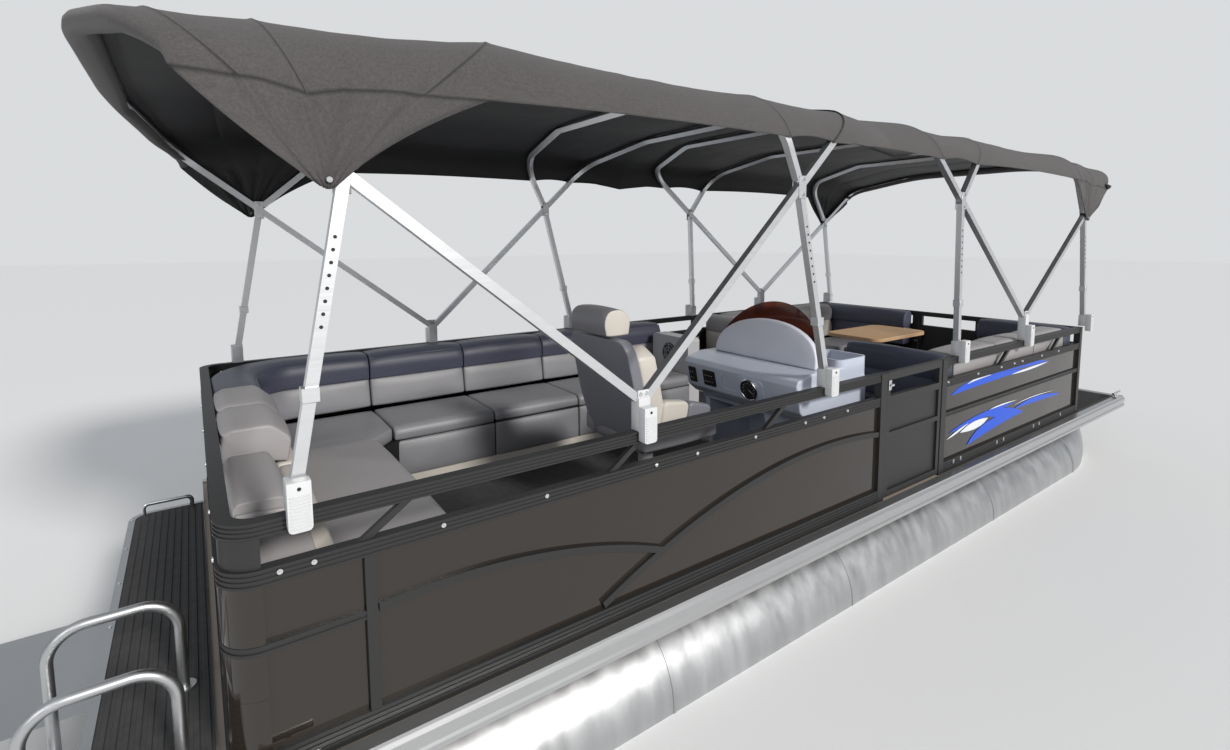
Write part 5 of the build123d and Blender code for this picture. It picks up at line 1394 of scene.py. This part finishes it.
    def fittings(self):
        """Plates and bolts where the tubes cross, flat black discs for the adjusting holes in the legs
        (painted shade in place of open holes), and the snaps of the flaps.
        """
        plates, bolts, holes = bmesh.new(), bmesh.new(), bmesh.new()
        for side in (-1, 1):
            outer = side * self.OUTER_FACE
            for foot, x, z in self.LEGS:
                faces = [(side * self.INNER_FACE, -side)]
                if z > 1.60:
                    faces.append((outer, side))
                for face, way in faces:
                    top = face + way * self.PLATE_THICK
                    box_into(plates, (station(x) - self.PLATE_HALF, face, over(z) + self.PLATE_EDGES[0]),
                             (station(x) + self.PLATE_HALF, top, over(z) + self.PLATE_EDGES[1]))
                    for dz in self.PLATE_BOLTS:
                        disc(bolts, (station(x), top, over(z) + dz), (0, way, 0), 0.009, 0.007)

                def on_leg(share):
                    return station(foot + (x - foot) * share), over(0.76 + (z - 0.78) * share)

                # each hole is a flat near-black disc on the tube's outer face: painted shade where the hole
                # would be dark inside
                for k in range(self.HOLES):
                    x_hole, z_hole = on_leg(self.HOLE + self.HOLE_PITCH * k)
                    disc(holes, (x_hole, outer - side * 0.0005, z_hole), (0, side, 0), 0.005, 0.0012, 10, 1.0)
                x_clamp, z_clamp = on_leg(self.CLAMP)
                box_into(plates, (x_clamp - 0.022, outer - side * 0.036, z_clamp - 0.020),
                         (x_clamp + 0.022, outer + side * 0.006, z_clamp + 0.020))
            for x, z in self.EAR_BOLTS:
                for dx in (-0.014, 0.014):
                    where = (station(x) + dx, side * (FENCE - 0.0095), over(z))
                    disc(bolts, where, (0, side, 0), 0.008, 0.006)
            for x, z in self.SNAPS:
                disc(bolts, (station(x), side * self.SNAP_FACE, over(z)), (0, side, 0), 0.009, 0.006)
        round_edges(plates, plates.edges[:], 0.0012, 1)
        place(plates, "top_plates", ["bow_tube"], slot="top_tube")
        place(bolts, "top_bolts", ["bright_steel"])
        place(holes, "leg_holes", ["seam_black"], slot="top_tube")

    def feet(self):
        """Ribbed feet that clasp the grab rail, with ears where two bows meet, and their pins."""
        bodies, ribs, pins = bmesh.new(), bmesh.new(), bmesh.new()

        def block(bm, side, x, part, low, high):
            half, inner, outer = part
            box_into(bm, (station(x) - half, side * (FENCE + inner), over(low)),
                     (station(x) + half, side * (FENCE + outer), over(high)))

        for side in (-1, 1):
            for x, high, cap, ears in self.FEET:
                block(bodies, side, x, self.BODY, self.FOOT_LOW, high)
                block(bodies, side, x, self.CAP, self.CAP_LOW, cap)
                if ears:
                    block(bodies, side, x, self.EARS, cap - 0.010, ears)
                for k in range(self.RIBS):
                    z = self.FOOT_LOW + self.RIB_LOW + self.RIB_PITCH * k
                    block(ribs, side, x, self.RIB, z, z + self.RIB_HEIGHT)
                pin = (station(x), side * (FENCE + self.BODY[2]), over(high - 0.018))
                disc(pins, pin, (0, side, 0), 0.005, 0.003)
        lower = [e for e in bodies.edges if all(abs(v.co.z - over(self.FOOT_LOW)) < 1e-5 for v in e.verts)
                 and abs(e.verts[0].co.y - e.verts[1].co.y) > 0.01]
        round_edges(bodies, lower, 0.012, 3)
        round_edges(bodies, [e for e in bodies.edges if e.calc_face_angle(0.0) > math.radians(60)], 0.003, 2)
        round_edges(ribs, ribs.edges[:], 0.0009, 1)
        place(bodies, "rail_feet", ["white_plastic"], slot="foot_white", replaces=("top_feet",))
        place(ribs, "foot_ribs", ["white_plastic"], slot="foot_white")
        place(pins, "foot_pins", ["seam_black"], slot="foot_white")

    def execute(self, context):
        finish_nodes("bow_tube", "top_frame_aft", "top_frame_forward")
        self.feet()
        for name, canvas in self.CANVASES.items():
            self.sew(name, canvas)
        self.fittings()
        return {"FINISHED"}


class BOAT_OT_motor(BoatOperator, bpy.types.Operator):
    """Finish the outboard motor"""

    bl_idname = "boat.motor"
    bl_label = "Outboard motor"

    def execute(self, context):
        finish_nodes("motor_grey", "motor_clamp", "motor_swivel", "motor_leg")
        finish_nodes("motor_paint", "motor_cowl")
        finish_nodes("bright_steel", "propeller")
        return {"FINISHED"}


class BOAT_OT_stage(BoatOperator, bpy.types.Operator):
    """Set the camera, the lamps and the floor at the waterline"""

    bl_idname = "boat.stage"
    bl_label = "Stage"

    # the recovered camera: (station, y, height), its three axes, its lens and its middle in pixels
    EYE = (0.0, -2.94, 1.408)
    RIGHT = (0.8117, -0.5840, -0.0026)
    DOWN = (-0.0585, -0.0769, -0.9953)
    FORWARD = (0.5811, 0.8081, -0.0966)
    FOCAL_PIXELS, WIDTH, HEIGHT, SENSOR = 600.6, 1230.0, 750.0, 36.0
    CENTRE = (623.4, 297.0)
    # strengths of the lamps and of the room, the room's tint, and the colours of the backdrop and the floor
    KEY, FILL, ROOM = 2.7, 120.0, 0.50
    ROOM_TINT, BACKDROP, FLOOR = (0.88, 0.91, 0.95), (0.70, 0.715, 0.73), (0.82, 0.825, 0.83)

    def camera(self, scene):
        """The photograph's camera."""
        data = bpy.data.cameras.new("camera")
        data.sensor_width = self.SENSOR
        data.lens = self.FOCAL_PIXELS / self.WIDTH * self.SENSOR
        data.shift_x = (self.WIDTH / 2 - self.CENTRE[0]) / self.WIDTH
        data.shift_y = (self.CENTRE[1] - self.HEIGHT / 2) / self.WIDTH
        data.clip_start, data.clip_end = 0.05, 200.0
        right, down, forward = [Vector(axis).normalized() for axis in (self.RIGHT, self.DOWN, self.FORWARD)]
        turn = Matrix((right, -down, -forward)).transposed().to_4x4()
        eye = add_object("camera", data)
        eye.matrix_world = Matrix.Translation(in_boat([self.EYE])[0]) @ turn
        scene.camera = eye

    def lamp(self, data, where, target):
        """A lamp at a place, turned to a target."""
        lamp = add_object(data.name, data)
        lamp.location = where
        lamp.rotation_euler = (Vector(target) - Vector(where)).to_track_quat("-Z", "Y").to_euler()

    def room(self, scene):
        """Even light from all around; the camera sees it paler than it shines."""
        world = bpy.data.worlds.new("pale_room")
        world.use_nodes = True
        tree = world.node_tree
        shining = tree.nodes["Background"]
        shining.inputs[0].default_value = (*self.ROOM_TINT, 1.0)
        shining.inputs[1].default_value = self.ROOM
        seen = add_node(tree, "ShaderNodeBackground", {"Color": (*self.BACKDROP, 1.0), "Strength": 1.0})
        ray = add_node(tree, "ShaderNodeLightPath").outputs["Is Camera Ray"]
        both = add_node(tree, "ShaderNodeMixShader", {0: ray, 1: shining.outputs[0], 2: seen.outputs[0]})
        tree.links.new(both.outputs[0], tree.nodes["World Output"].inputs["Surface"])
        scene.world = world

    def execute(self, context):
        scene = context.scene
        self.camera(scene)
        self.room(scene)
        key = bpy.data.lights.new("key", "SUN")
        key.energy, key.angle, key.color = self.KEY, math.radians(9), (1.0, 0.97, 0.93)
        self.lamp(key, (1.9, -9.0, 4.9), (0.0, 0.0, 0.0))
        fill = bpy.data.lights.new("fill", "AREA")
        fill.shape, fill.size, fill.energy = "DISK", 5.0, self.FILL
        self.lamp(fill, (-8.0, -5.0, 5.0), (0.0, 0.0, 1.2))
        bm = bmesh.new()
        bmesh.ops.create_grid(bm, x_segments=1, y_segments=1, size=60.0,
                              matrix=Matrix.Translation((0, 0, sizes().waterline)))
        mesh = bpy.data.meshes.new("floor")
        bm.to_mesh(mesh)
        bm.free()
        mesh.materials.append(new_material("floor", self.FLOOR, 0.8)[0])
        floor = add_object("floor", mesh)
        scene.view_settings.view_transform = "Standard"
        return {"FINISHED"}


STEPS = ("hull", "mats", "fence", "lounge", "stern_lounge", "bow_lounges", "helm", "table", "sun_tops",
         "motor", "stage")


class BOAT_PT_panel(bpy.types.Panel):
    """The boat's operators"""

    bl_idname = "BOAT_PT_panel"
    bl_label = "Pontoon boat"
    bl_space_type = "VIEW_3D"
    bl_region_type = "UI"
    bl_category = "Boat"

    def draw(self, context):
        for step in STEPS:
            self.layout.operator("boat." + step)


CLASSES = (BoatSizes, BoatColours, BOAT_OT_hull, BOAT_OT_mats, BOAT_OT_fence, BOAT_OT_lounge,
           BOAT_OT_stern_lounge, BOAT_OT_bow_lounges, BOAT_OT_helm, BOAT_OT_table, BOAT_OT_sun_tops,
           BOAT_OT_motor, BOAT_OT_stage, BOAT_PT_panel)


def register():
    for cls in CLASSES:
        bpy.utils.register_class(cls)
    bpy.types.Scene.boat_sizes = PointerProperty(type=BoatSizes)
    bpy.types.Scene.boat_colours = PointerProperty(type=BoatColours)


def unregister():
    del bpy.types.Scene.boat_colours
    del bpy.types.Scene.boat_sizes
    for cls in reversed(CLASSES):
        bpy.utils.unregister_class(cls)


def main():
    register()
    for step in STEPS:
        getattr(bpy.ops.boat, step)()


if __name__ == "__main__":
    main()
